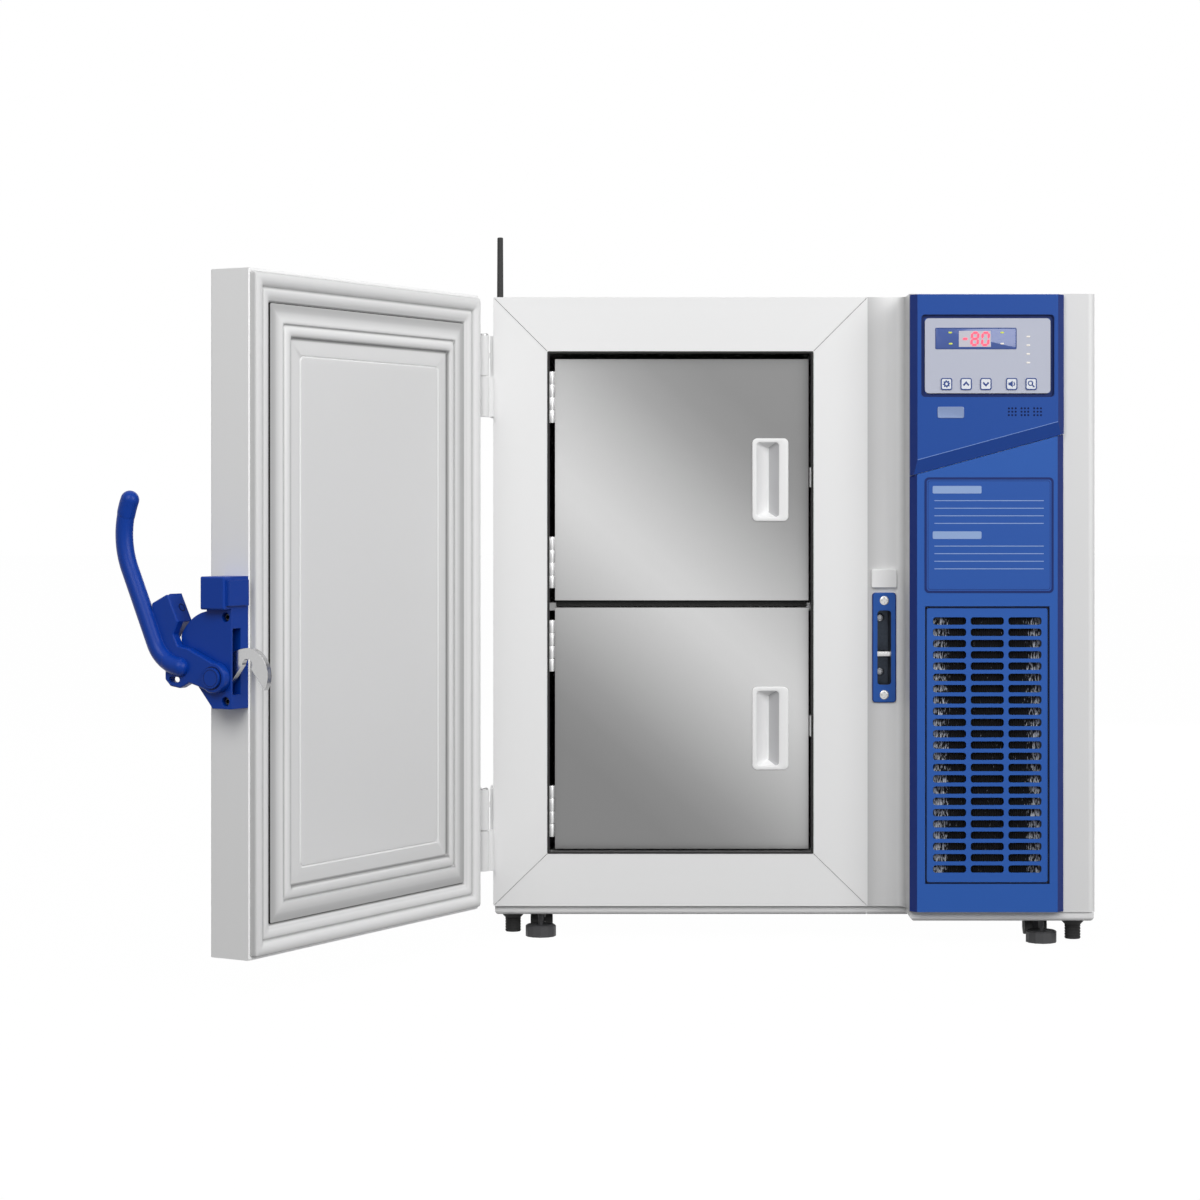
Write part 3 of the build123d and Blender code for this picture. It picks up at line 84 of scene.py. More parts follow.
# Places on the cabinet, in millimetres, as the CAD has them
PANEL_MIDDLE = 229.5
PANEL_FACE = -62.0
BEZEL_FACE = -66.0
OVERLAY_FACE = -65.0
OPENING = (-294.0, 27.0, 104.0, 711.0)
SHELF_MIDDLE = 405.0
HINGE_LOWS = (632.0, 84.0)
KNUCKLE = 15.6
PULL_X = -23.5
INLET_X = 328.0
INLET_Z = 130.0
KEY_ROW = 669.0
KEY_FACE = OVERLAY_FACE - 1.0
KEYS = {"settings": -49.0, "up": -25.7, "down": -2.3, "silence": 28.4, "inquiry": 51.5}
GRILLE_MIDDLE = 240.0
FILTER_FACE = -54.6
STRIKE_X = 113.0

# The outer door's own frame: x from the hinge axis to the latch edge, y towards the cabinet when shut
DOOR_TURN = math.radians(-120)
DOOR_WIDTH = 453.0
DOOR_HEIGHT = 737.0
DOOR_EDGE = 12.0
DOOR = Matrix.Translation((-0.372, -0.011, 0)) @ Matrix.Rotation(DOOR_TURN, 4, "Z")
PIVOT_DEPTH = 17.0
PIVOT_HEIGHT = 342.0
GRIP_REACH = 41.0
GRIP_RADIUS = 10.1
# Depth, height, slope in degrees and bend radius of each end of the lever's grip
GRIP_ENDS = [(-110, 188, 66.7, -93), (-42, 10.5, -6.9, 41.5)]
DOOR_FACE = DOOR @ Matrix.Translation(((DOOR_EDGE + DOOR_WIDTH / 2) * MM, 0, 408.5 * MM))


def srgb(red, green, blue):
    """Linear colour of an 8-bit display colour."""
    return tuple(
        (c / 255 / 12.92) if c <= 10 else ((c / 255 + 0.055) / 1.055) ** 2.4 for c in (red, green, blue)
    )


class FreezerSizes(bpy.types.PropertyGroup):
    """Sizes of the pieces that the scene adds."""

    gasket_width: FloatProperty(
        name="Gasket Width", description="Width of the door gasket's flange", subtype="DISTANCE",
        default=30.6 * MM, min=10.0 * MM,
    )
    gasket_crown: FloatProperty(
        name="Gasket Crown", description="Height of the gasket's rounded flange", subtype="DISTANCE",
        default=8.4 * MM, min=1.0 * MM,
    )
    seal_width: FloatProperty(
        name="Chamber Seal", description="Width of the black seal round the chamber", subtype="DISTANCE",
        default=2.2 * MM, min=1.0 * MM,
    )
    screw_radius: FloatProperty(
        name="Screw Radius", description="Head radius of the strike's screws", subtype="DISTANCE",
        default=5.6 * MM, min=1.0 * MM,
    )
    filter_pleats: IntProperty(
        name="Filter Pleats", description="Pleats of the dust filter behind the grille", default=48, min=4,
    )
    digit_height: FloatProperty(
        name="Digit Height", description="Height of the display's digits", subtype="DISTANCE",
        default=14.5 * MM, min=4.0 * MM,
    )


class FreezerColours(bpy.types.PropertyGroup):
    """Colours of the finishes."""

    white: FloatVectorProperty(
        name="White", description="Powder coat of the cabinet and door", subtype="COLOR",
        default=srgb(246, 246, 246), min=0, max=1,
    )
    blue: FloatVectorProperty(
        name="Blue", description="Blue of the lower front panel", subtype="COLOR",
        default=srgb(44, 94, 178), min=0, max=1,
    )
    bezel_blue: FloatVectorProperty(
        name="Bezel Blue", description="Darker blue of the upper bezel", subtype="COLOR",
        default=srgb(30, 77, 160), min=0, max=1,
    )
    # Painted shade: the deep blue that the panels' bevels and the bezel's sloping band are painted towards
    painted_shade_navy: FloatVectorProperty(
        name="Navy", description="Deep blue of the panels' slopes", subtype="COLOR",
        default=srgb(14, 42, 116), min=0, max=1,
    )
    casting_blue: FloatVectorProperty(
        name="Casting Blue", description="Blue of the latch castings", subtype="COLOR",
        default=srgb(6, 60, 158), min=0, max=1,
    )
    steel: FloatVectorProperty(
        name="Steel", description="Stainless steel of the inner doors", subtype="COLOR",
        default=srgb(206, 206, 206), min=0, max=1,
    )
    plate: FloatVectorProperty(
        name="Plate", description="Lavender grey of the control plate", subtype="COLOR",
        default=srgb(190, 194, 210), min=0, max=1,
    )
    digits: FloatVectorProperty(
        name="Digits", description="Light of the display's digits", subtype="COLOR",
        default=srgb(255, 92, 118), min=0, max=1,
    )


def sizes():
    """The scene's size settings."""
    return bpy.context.scene.freezer_sizes


def colours():
    """The scene's colour settings."""
    return bpy.context.scene.freezer_colours


# Finishes


def feed(tree, slot, value):
    """Link a socket to an input, or set the input to a plain value."""
    if isinstance(value, bpy.types.NodeSocket):
        tree.links.new(value, slot)
    else:
        slot.default_value = value


def placed(tree, kind):
    """Texture coordinate: Object in metres, or Generated in shares of the piece."""
    return tree.nodes.new("ShaderNodeTexCoord").outputs[kind]


def axes(tree, vector):
    """X, Y and Z of a vector."""
    split = tree.nodes.new("ShaderNodeSeparateXYZ")
    tree.links.new(vector, split.inputs["Vector"])
    return split.outputs


def squeezed(tree, vector, scale):
    """Vector scaled along each axis."""
    step = tree.nodes.new("ShaderNodeMapping")
    step.inputs["Scale"].default_value = scale
    tree.links.new(vector, step.inputs["Vector"])
    return step.outputs["Vector"]


def noise_step(tree, vector, scale, detail):
    """Noise at a place, with its scale per metre."""
    step = tree.nodes.new("ShaderNodeTexNoise")
    step.inputs["Scale"].default_value = scale
    step.inputs["Detail"].default_value = detail
    tree.links.new(vector, step.inputs["Vector"])
    return step.outputs["Fac"]


def math_step(tree, operation, *values, clamp=False):
    """Result of a Math node on sockets or numbers."""
    step = tree.nodes.new("ShaderNodeMath")
    step.operation = operation
    step.use_clamp = clamp
    for slot, value in zip(step.inputs, values):
        feed(tree, slot, value)
    return step.outputs["Value"]


def map_range(tree, value, before=(0.0, 1.0), after=(0.0, 1.0)):
    """Value carried from one range to another and kept inside it."""
    step = tree.nodes.new("ShaderNodeMapRange")
    for slot, number in zip(("From Min", "From Max", "To Min", "To Max"), (*before, *after)):
        step.inputs[slot].default_value = number
    tree.links.new(value, step.inputs["Value"])
    return step.outputs["Result"]


def mix_step(tree, kind, share, first, second, blend="MIX"):
    """Mix of two numbers or two colours by a share."""
    step = tree.nodes.new("ShaderNodeMix")
    step.data_type = kind
    step.blend_type = blend
    for slot, value in (("Factor", share), ("A", first), ("B", second)):
        feed(tree, step.inputs[slot], value)
    return step.outputs["Result"]


def grey_ramp(tree, value, stops):
    """Grey level of a value from stops of (position, level)."""
    ramp = tree.nodes.new("ShaderNodeValToRGB")
    elements = ramp.color_ramp.elements
    while len(elements) < len(stops):
        elements.new(0.5)
    for element, (position, level) in zip(elements, stops):
        element.position = position
        element.color = (level, level, level, 1)
    tree.links.new(value, ramp.inputs["Fac"])
    return ramp.outputs["Color"]


def finish(name, colour, roughness, metallic=0.0, grain=900.0, stretch=(1, 1, 1), tint=0.03,
           rough_swing=0.05, bump=0.04, coat=0.0, drift=0.0, specular=0.5, soften=0.0):
    """A node material with fine grain in its colour, roughness and relief.

    grain is the noise scale per metre, stretch squeezes it into brush lines, drift adds broad soft patches,
    specular is the strength of the surface gloss and soften rounds the look of edges, in millimetres.
    """
    made = bpy.data.materials.get(name)
    if made:
        return made
    made = bpy.data.materials.new(name)
    made.use_nodes = True
    tree = made.node_tree
    shader = tree.nodes["Principled BSDF"]
    shader.inputs["Metallic"].default_value = metallic
    shader.inputs["Coat Weight"].default_value = coat
    shader.inputs["Specular IOR Level"].default_value = specular
    place = placed(tree, "Object")
    noise = noise_step(tree, squeezed(tree, place, stretch), grain, 3.0)
    patches = noise_step(tree, place, PATCH_SCALE, 2.0)
    shade = mix_step(
        tree, "RGBA", mix_step(tree, "FLOAT", drift, noise, patches),
        (*[c * (1 - tint) for c in colour], 1), (*[min(1, c * (1 + tint)) for c in colour], 1),
    )
    tree.links.new(shade, shader.inputs["Base Color"])
    gloss = (max(LEAST_ROUGHNESS, roughness - rough_swing), roughness + rough_swing)
    tree.links.new(map_range(tree, noise, after=gloss), shader.inputs["Roughness"])
    relief = tree.nodes.new("ShaderNodeBump")
    relief.inputs["Strength"].default_value = bump
    relief.inputs["Distance"].default_value = RELIEF_DEPTH
    tree.links.new(noise, relief.inputs["Height"])
    tree.links.new(relief.outputs["Normal"], shader.inputs["Normal"])
    if soften:
        edge = tree.nodes.new("ShaderNodeBevel")
        edge.inputs["Radius"].default_value = soften * MM
        tree.links.new(edge.outputs["Normal"], relief.inputs["Normal"])
    return made


def glow(name, colour, strength):
    """Light of a lit segment or lamp, with a soft gloss; also the faint glow of the door rim's painted
    highlight.
    """
    made = bpy.data.materials.get(name)
    if made:
        return made
    made = finish(name, colour, 0.3, tint=0.08)
    shader = made.node_tree.nodes["Principled BSDF"]
    shader.inputs["Emission Color"].default_value = (*colour, 1)
    shader.inputs["Emission Strength"].default_value = strength
    return made


def tone_over(made, share, tone, blend="MIX"):
    """Blend a tone, which is a colour or a socket, over a finish by a share."""
    tree = made.node_tree
    base = tree.nodes["Principled BSDF"].inputs["Base Color"]
    if not isinstance(tone, bpy.types.NodeSocket):
        tone = (*tone, 1)
    tree.links.new(mix_step(tree, "RGBA", share, base.links[0].from_socket, tone, blend), base)
    return made


def painted_slope_shade(made, colour, sideways, downwards):
    """Paint shade on faces that turn sideways or downwards, so that the bevels of a panel look deeper."""
    tree = made.node_tree
    facing = axes(tree, tree.nodes.new("ShaderNodeNewGeometry").outputs["Normal"])
    side = math_step(tree, "MULTIPLY", math_step(tree, "ABSOLUTE", facing["X"]), sideways, clamp=True)
    under = math_step(tree, "MULTIPLY", facing["Z"], -downwards, clamp=True)
    return tone_over(made, math_step(tree, "MAXIMUM", side, under), colour)


def column_shade(made, stops, span):
    """Paint shade over a finish into its folds: stops are (x in millimetres, depth of painted shade) across
    the span.
    """
    tree = made.node_tree
    start, end = span
    across = map_range(tree, axes(tree, placed(tree, "Object"))["X"], before=(start * MM, end * MM))
    shade = grey_ramp(tree, across, [((x - start) / (end - start), depth) for x, depth in stops])
    return tone_over(made, shade, PAINTED_SHADE_GREY)


def groove_shade(made, stops, reach):
    """Paint shade into a door moulding's grooves: stops are (margin from the door's edge, depth of painted
    shade).
    """
    tree = made.node_tree
    settle = tree.nodes.new("ShaderNodeVectorMath")
    settle.operation = "SUBTRACT"
    settle.inputs[1].default_value = DOOR_FACE.translation
    tree.links.new(placed(tree, "Object"), settle.inputs[0])
    swing = tree.nodes.new("ShaderNodeVectorRotate")
    swing.rotation_type = "Z_AXIS"
    swing.inputs["Angle"].default_value = -DOOR_TURN
    tree.links.new(settle.outputs["Vector"], swing.inputs["Vector"])
    door = axes(tree, swing.outputs["Vector"])
    margins = [
        math_step(tree, "SUBTRACT", full / 2 * MM, math_step(tree, "ABSOLUTE", door[side]))
        for side, full in (("X", DOOR_WIDTH), ("Z", DOOR_HEIGHT))
    ]
    least = math_step(tree, "MINIMUM", *margins)
    share = math_step(tree, "MULTIPLY", least, 1 / (reach * MM), clamp=True)
    shade = grey_ramp(tree, share, [(margin / reach, depth) for margin, depth in stops])
    return tone_over(made, shade, PAINTED_SHADE_GREY)


def steel_with_painted_band(name, start):
    """Satin stainless sheet with fine upright brush lines and one soft slanting band of painted reflected
    light.

    start moves the band: it lies where the sheet's width and height shares, each times its slope, add up
    to it.
    """
    made = finish(
        name, colours().steel, 0.34, metallic=1.0, grain=260.0, stretch=(14, 1, 0.35),
        tint=0.03, rough_swing=0.04, bump=0.03,
    )
    tree = made.node_tree
    sheet = axes(tree, placed(tree, "Generated"))
    across = math_step(tree, "MULTIPLY_ADD", sheet["X"], -BAND_SLOPES[0], start)
    along = math_step(tree, "MULTIPLY_ADD", sheet["Z"], -BAND_SLOPES[1], across)
    band = grey_ramp(tree, math_step(tree, "ABSOLUTE", along), PAINTED_BAND_TONES)
    return tone_over(made, 1.0, band, "MULTIPLY")


def satin_steel():
    """Satin stainless sheet of the chamber, the shelf and the inner doors' backs."""
    return finish(
        "satin_steel", srgb(226, 226, 226), 0.4, metallic=0.55, grain=260.0, stretch=(14, 1, 0.35),
        tint=0.04, bump=0.03,
    )


def white_coat():
    """White powder coat of the sheet metal."""
    return finish("white_powder_coat", colours().white, 0.42, tint=0.012, bump=0.05, grain=1100)


def grey_coat():
    """Light grey coat of the base tray."""
    return finish("grey_powder_coat", srgb(238, 238, 238), 0.42, tint=0.012, bump=0.05, grain=1100)


def column_coat():
    """Light grey coat of the control column, with painted shade: darker into its folds and on its
    right-hand strip.
    """
    made = finish("column_powder_coat", srgb(249, 249, 249), 0.42, tint=0.012, bump=0.05, grain=1100)
    stops = [
        (93, 0.42), (97, 0.36), (104, 0.22), (114, 0.06), (122, 0.0), (129, 0.06), (133, 0.28), (137, 0.5),
        (140, 0.5), (150, 0.0), (318, 0.0), (322, 0.2), (351, 0.2), (354, 0.08), (360, 0.12),
    ]
    return column_shade(made, stops, (93, 360))


def blue_panel():
    """Satin blue of the lower front panel, with painted shade on its bevels."""
    made = finish("blue_panel_satin", colours().blue, 0.4, tint=0.03, bump=0.05, grain=1500, specular=0.25)
    return painted_slope_shade(made, colours().painted_shade_navy, 1.3, 0.4)


def bezel_panel():
    """Darker satin blue of the upper bezel, with painted shade on its bevels and its sloping band."""
    made = finish(
        "blue_bezel_satin", colours().bezel_blue, 0.4, tint=0.03, bump=0.05, grain=1500, specular=0.25,
    )
    return painted_slope_shade(made, colours().painted_shade_navy, 1.3, 1.9)


def blue_casting():
    """Blue coat on the latch castings."""
    return finish(
        "blue_casting_coat", colours().casting_blue, 0.34, tint=0.05, bump=0.06, grain=1300, specular=0.2,
        soften=1.4,
    )


def white_moulding():
    """White moulded plastic."""
    return finish("white_moulding", srgb(250, 250, 250), 0.35, tint=0.01, bump=0.02)


def liner_plastic():
    """Pale vacuum-formed liner of the outer door, with painted shade in its grooves."""
    made = finish("liner_plastic", srgb(250, 250, 250), 0.3, tint=0.012, bump=0.03, grain=600, drift=0.5)
    return groove_shade(made, LINING_GROOVE_SHADE, 100)


def gasket_rubber():
    """Pale soft silicone of the gasket, with painted shade in its grooves."""
    made = finish("gasket_silicone", srgb(250, 250, 250), 0.45, tint=0.015, bump=0.04, grain=700)
    return groove_shade(made, GASKET_GROOVE_SHADE, 40)


def black_plastic():
    """Black moulded plastic."""
    return finish("black_plastic", srgb(30, 30, 32), 0.45, tint=0.15, bump=0.08)


def black_rubber():
    """Matt black rubber."""
    return finish("black_rubber", srgb(22, 22, 23), 0.7, tint=0.2, bump=0.1, grain=700)


def bright_steel():
    """Bright plated steel of screws, pins and small leaves."""
    return finish(
        "bright_plated_steel", srgb(205, 205, 205), 0.24, metallic=1.0, grain=300, stretch=(6, 6, 1),
        tint=0.05,
    )


def hook_steel():
    """Polished steel of the hook, with painted shade on its faces that turn sideways or downwards."""
    made = finish("hook_steel", srgb(228, 228, 228), 0.2, metallic=1.0, grain=300, tint=0.06, soften=0.6)
    return painted_slope_shade(made, srgb(58, 58, 62), 0.72, 0.5)


def dark_ink():
    """Dark blue print on the keys and plate."""
    return finish("dark_blue_print", srgb(32, 62, 130), 0.5, tint=0.05, bump=0.0)


def filter_mesh():
    """Dark filter cloth with bright crinkled specks of foil, more of them towards both sides."""
    made = finish("filter_mesh", srgb(24, 24, 27), 0.4, tint=0.5, grain=900, bump=0.4, rough_swing=0.25)
    tree = made.node_tree
    sides = grey_ramp(tree, axes(tree, placed(tree, "Generated"))["X"], FILTER_SIDES)
    specks = noise_step(tree, squeezed(tree, placed(tree, "Object"), (1.9, 1, 0.5)), 330.0, 4.0)
    foil = map_range(tree, math_step(tree, "ADD", specks, sides), before=(0.73, 0.8))
    return tone_over(made, foil, srgb(205, 208, 214))


def node_finish(node):
    """Finish of a CAD node by its name."""
    coats = {
        "white": white_coat, "grey": grey_coat, "blue": blue_panel, "bezel": bezel_panel,
        "casting": blue_casting, "column": column_coat,
        "moulding": white_moulding, "black": black_plastic, "rubber": black_rubber, "bright": bright_steel,
        "hook": hook_steel,
    }
    by_finish = {
        "white": ["outer_casing", "rear_panel", "front_frame", "cabinet_hinge_leaves", "door_hinge_leaves",
                  "door_shell"],
        "grey": ["base_tray"],
        "column": ["column_housing"],
        "blue": ["front_panel", "filter_grille", "strike_plate"],
        "bezel": ["control_bezel"],
        "casting": ["lock_body", "door_lever", "lever_shaft"],
        "moulding": ["inner_door_catches", "upper_inner_pull", "lower_inner_pull"],
        "black": ["power_inlet", "fan_blades", "antenna_base", "antenna_whip", "front_left_caster_wheels",
                  "front_right_caster_wheels", "rear_left_caster_wheels", "rear_right_caster_wheels"],
        "rubber": ["corner_buffers"],
        "bright": ["strike_pin", "inner_hinge_leaves"],
        "hook": ["latch_hook"],
    }
    for coat, members in by_finish.items():
        if node in members:
            return coats[coat]()
    plain = {
        "door_sensor": ("sensor_white", srgb(255, 255, 255), 0.35, {"tint": 0.0, "bump": 0.02}),
        "control_overlay": (
            "control_plate", colours().plate, 0.4, {"tint": 0.02, "bump": 0.03, "grain": 1500},
        ),
        "control_board": ("board_laminate", srgb(46, 80, 150), 0.25, {"tint": 0.05, "coat": 0.3}),
        "strike_box": (
            "dark_zinc", srgb(84, 92, 104), 0.45, {"metallic": 0.7, "tint": 0.3, "grain": 300, "bump": 0.2},
        ),
        "condenser": (
            "fin_coat", srgb(34, 34, 38), 0.35, {"metallic": 0.8, "tint": 0.4, "grain": 400, "bump": 0.2},
        ),
        "compressor": ("black_enamel", srgb(24, 24, 26), 0.28, {"tint": 0.1, "bump": 0.06, "grain": 500}),
        "fan_shroud": ("shroud_steel", srgb(38, 38, 40), 0.5, {"metallic": 0.5, "tint": 0.1}),
        "fan_motor": ("motor_steel", srgb(60, 60, 64), 0.45, {"metallic": 0.6, "tint": 0.1}),
        "insulation": ("foam_skin", srgb(150, 150, 150), 0.85, {"tint": 0.08, "bump": 0.2, "grain": 350}),
    }
    if node in plain:
        name, colour, roughness, more = plain[node]
        return finish(name, colour, roughness, **more)
    sheets = {
        "upper_inner_door": ("upper_door_steel", 0.4813),
        "lower_inner_door": ("lower_door_steel", 1.475),
    }
    if node in sheets:
        return steel_with_painted_band(*sheets[node])
    if node in ("chamber_liner", "shelf"):
        return satin_steel()
    if node.endswith("levelling_foot"):
        return finish("foot_nylon", srgb(62, 62, 64), 0.55, tint=0.12, bump=0.1, grain=800)
    if node.endswith("_key"):
        return finish("key_cap", srgb(236, 240, 246), 0.35, tint=0.01, bump=0.02)
    if node.endswith(("caster_fork", "caster_forks")):
        return finish("caster_steel", srgb(36, 36, 38), 0.4, metallic=0.4, tint=0.15, bump=0.06)
    if node in ("evaporator_coil", "refrigerant_lines"):
        return finish("drawn_copper", srgb(190, 110, 75), 0.28, metallic=1.0, grain=200, tint=0.12)
    return finish("pale_foam", srgb(226, 212, 168), 0.9, tint=0.1, bump=0.3, grain=350)


# Mesh making


def add_piece(name, bm, made, body, replaces=()):
    """Turn a bmesh into a piece that rides on a body."""
    bmesh.ops.remove_doubles(bm, verts=bm.verts, dist=1e-7)
    bmesh.ops.recalc_face_normals(bm, faces=bm.faces)
    for edge in bm.edges:
        edge.smooth = len(edge.link_faces) == 2 and edge.calc_face_angle(0.0) < SHARP_ANGLE
    for face in bm.faces:
        face.smooth = True
    mesh = bpy.data.meshes.new(name)
    bm.to_mesh(mesh)
    bm.free()
    mesh.materials.append(made)
    piece = bpy.data.objects.new(name, mesh)
    bpy.context.scene.collection.objects.link(piece)
    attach(piece, body)
    if replaces:
        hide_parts(*replaces)
    return piece


def rounded(width, height, radius):
    """Points of a rounded rectangle about its middle, in millimetres."""
    points = []
    for corner in range(4):
        middle = math.pi / 2 * corner
        cx = (width / 2 - radius) * (1 if corner in (0, 3) else -1)
        cz = (height / 2 - radius) * (1 if corner in (0, 1) else -1)
        for step in range(CORNER_STEPS + 1):
            turn = middle + math.pi / 2 * step / CORNER_STEPS
            points.append((cx + radius * math.cos(turn), cz + radius * math.sin(turn)))
    return points


def circle(radius, steps=ROUND_STEPS):
    """Points of a circle, in millimetres."""
    return [(radius * math.cos(2 * math.pi * s / steps), radius * math.sin(2 * math.pi * s / steps))
            for s in range(steps)]


def discs(*rounds, steps=ROUND_STEPS):
    """Rings for a loft from pairs of (radius, depth)."""
    return [(circle(radius, steps), depth) for radius, depth in rounds]


def loft(bm, rings, place, cap_start=False, cap_end=False, closed=False):
    """Skin rings of (points, depth) in a place's frame: points in its x and z, depth along its y."""
    rows = []
    for points, depth in rings:
        rows.append([bm.verts.new(place @ Vector((x * MM, depth * MM, z * MM))) for x, z in points])
    pairs = list(zip(rows, rows[1:]))
    if closed:
        pairs.append((rows[-1], rows[0]))
    count = len(rows[0])
    for low, high in pairs:
        for i in range(count):
            j = (i + 1) % count
            bm.faces.new((low[i], low[j], high[j], high[i]))
    if cap_start:
        bm.faces.new(rows[0])
    if cap_end:
        bm.faces.new(rows[-1])


def solid(bm, rings, place):
    """Loft with both ends filled."""
    loft(bm, rings, place, cap_start=True, cap_end=True)


def prism(bm, points, low, high, place):
    """Straight prism of an outline between two depths."""
    solid(bm, [(points, low), (points, high)], place)


def ribbon(bm, path, width, low, high, place):
    """Raised stroke of an even width along an open path."""
    sides = []
    for i, (x, z) in enumerate(path):
        before = Vector(path[max(i - 1, 0)])
        after = Vector(path[min(i + 1, len(path) - 1)])
        here = Vector((x, z))
        into = (here - before).normalized() if i else (after - here).normalized()
        out = (after - here).normalized() if i < len(path) - 1 else into
        along = (into + out).normalized()
        lean = max(0.4, along.dot(into))
        side = Vector((-along.y, along.x)) * (width / 2 / lean)
        sides.append((here + side, here - side))
    outline = [tuple(s[0]) for s in sides] + [tuple(s[1]) for s in reversed(sides)]
    prism(bm, outline, low, high, place)


def frame_ring(bm, outer, inner, low, high, place):
    """Flat ring between two outlines with the same number of points."""
    loft(bm, [(outer, low), (outer, high), (inner, high), (inner, low)], place, closed=True)


def at(x, y, z):
    """Place on the cabinet's front, in millimetres."""
    return Matrix.Translation((x * MM, y * MM, z * MM))


UP = Matrix.Rotation(math.pi / 2, 4, "X")


def turned(place, angle, axis):
    """A place turned by an angle in degrees about one of its own axes."""
    return place @ Matrix.Rotation(math.radians(angle), 4, axis)


def from_pivot(depth, height, reach):
    """Place measured from the lever's pivot on the door's end, with the door's own axes."""
    return DOOR @ at(DOOR_EDGE + DOOR_WIDTH + reach, depth - PIVOT_DEPTH, PIVOT_HEIGHT + height)


def on_lock(depth, height, reach):
    """Place on the lock, measured from its pivot, that faces out of the door's end."""
    return turned(from_pivot(depth, height, reach), 90, "Z")


def node_box(name):
    """Lowest and highest corner of a CAD node, in millimetres."""
    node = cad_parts[name]
    corners = [node.matrix_world @ Vector(corner) for corner in node.bound_box]
    return [[pick(c[i] for c in corners) / MM for i in range(3)] for pick in (min, max)]


def recess(kind, radius):
    """Outline of a driver recess: a cross or a hexagon."""
    points = []
    for s in range(ROUND_STEPS):
        turn = 2 * math.pi * s / ROUND_STEPS
        if kind == "hex":
            part = (turn % (math.pi / 3)) - math.pi / 6
            reach = radius * 0.5 / math.cos(part)
        else:
            part = turn % (math.pi / 2)
            lean = max(1e-6, min(math.sin(part), math.cos(part)))
            reach = min(radius * 0.62, radius * 0.15 / lean)
        points.append((reach * math.cos(turn), reach * math.sin(turn)))
    return points


def fastener(bm, place, radius, height, kind):
    """Screw head standing out along the place's -y, with a cross or hexagon recess."""
    hole = recess(kind, radius)
    head = discs(
        (radius, 0.0), (radius, -height * 0.45), (radius * 0.9, -height * 0.85), (radius * 0.76, -height),
    )
    socket = [(hole, -height), ([(x * 0.8, z * 0.8) for x, z in hole], -height * 0.25)]
    solid(bm, head + socket, place)


# Operators


class PieceOperator:
    """What every piece operator shares."""

    bl_options = {"REGISTER", "UNDO"}


class FREEZER_OT_finishes(PieceOperator, bpy.types.Operator):
    """Give every CAD node its finish."""

    bl_idname = "freezer.finishes"
    bl_label = "CAD Finishes"

    def execute(self, context):
        for name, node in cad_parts.items():
            node.data.materials.clear()
            node.data.materials.append(node_finish(name))
        return {"FINISHED"}


class FREEZER_OT_door_lining(PieceOperator, bpy.types.Operator):
    """Mould the outer door's stepped lining and its sunk panel."""

    bl_idname = "freezer.door_lining"
    bl_label = "Door Lining"

    def execute(self, context):
        steps = [
            (1.6, -5.0), (1.6, 0.0), (35.6, 0.0), (35.6, 2.4), (36, 2.5), (42, 2.8), (48, 3.6), (53, 4.4),
            (55, 4.6), (56.3, 4.2), (57, 3.0), (57.8, 2.8), (58.6, 3.6), (61, 5.0), (64, 5.6), (67, 5.4),
            (69, 4.6), (70.3, 3.0), (71, 1.6), (72, 1.4), (74, 2.0), (88.6, 2.3), (90.3, 0.9), (91.3, 2.3),
            (92, 2.4), (95, 2.4),
        ]
        rings = []
        for margin, height in steps:
            radius = 2.0 if margin < 37 else 6.0
            rings.append((rounded(DOOR_WIDTH - 2 * margin, DOOR_HEIGHT - 2 * margin, radius), height))
        bm = bmesh.new()
        solid(bm, rings, DOOR_FACE)
        add_piece("door_lining", bm, liner_plastic(), "outer_door", ["door_liner"])
        return {"FINISHED"}


class FREEZER_OT_door_gasket(PieceOperator, bpy.types.Operator):
    """Run the gasket round the door's lining: a crowned flange, a bead, a black strip painted as the shadow
    under its lip and the rim's faint glow, a painted highlight.
    """

    bl_idname = "freezer.door_gasket"
    bl_label = "Door Gasket"

    def run(self, name, profile, made, slot, replaces=()):
        """Carry a profile of (margin from the door's edge, height) round the door."""
        rings = [
            (rounded(DOOR_WIDTH - 2 * margin, DOOR_HEIGHT - 2 * margin, 3.0), height)
            for margin, height in profile
        ]
        bm = bmesh.new()
        loft(bm, rings, DOOR_FACE, closed=True)
        add_piece(name, bm, made, "outer_door", replaces)

    def execute(self, context):
        crown = sizes().gasket_crown / MM
        start = 3.4
        end = start + sizes().gasket_width / MM
        profile = [
            (start, 0.05), (start, crown * 0.6), (start + 0.8, crown * 0.81), (start + 2.6, crown * 0.94),
            (start + 5.6, crown), (start + 8.6, crown * 0.98), (start + 11.6, crown * 0.86),
            (start + 14.1, crown * 0.64), (start + 15.2, crown * 0.42), (start + 15.8, crown * 0.38),
            (start + 16.5, crown * 0.44), (start + 17.6, crown * 0.56), (start + 19.6, crown * 0.62),
            (start + 22.6, crown * 0.6), (end - 5, crown * 0.48), (end - 3, crown * 0.34),
            (end - 1.5, crown * 0.26), (end - 0.4, crown * 0.12), (end, crown * 0.1), (end, 0.05),
        ]
        self.run("gasket_profile", profile, gasket_rubber(), "gasket_rubber", ["door_gasket"])
        # A black strip painted as the shadow in the crack between the gasket and the lining
        lip_shadow = [
            (end + 0.7, 0.05), (end + 0.7, 0.5), (end + 1.1, 2.2), (end + 1.55, 2.35), (end + 1.55, 0.05),
        ]
        self.run("gasket_lip_shadow", lip_shadow, black_rubber(), "black_rubber")
        rim = [(0.1, -2.4), (0.1, -0.5), (0.6, 0.35), (1.5, 0.75), (2.5, 0.6), (3.2, 0.02), (3.2, -2.4)]
        # The rim glows faintly: a painted highlight along the door's edge
        self.run("door_rim", rim, glow("rim_highlight", srgb(250, 250, 250), 0.12), "white_paint")
        return {"FINISHED"}


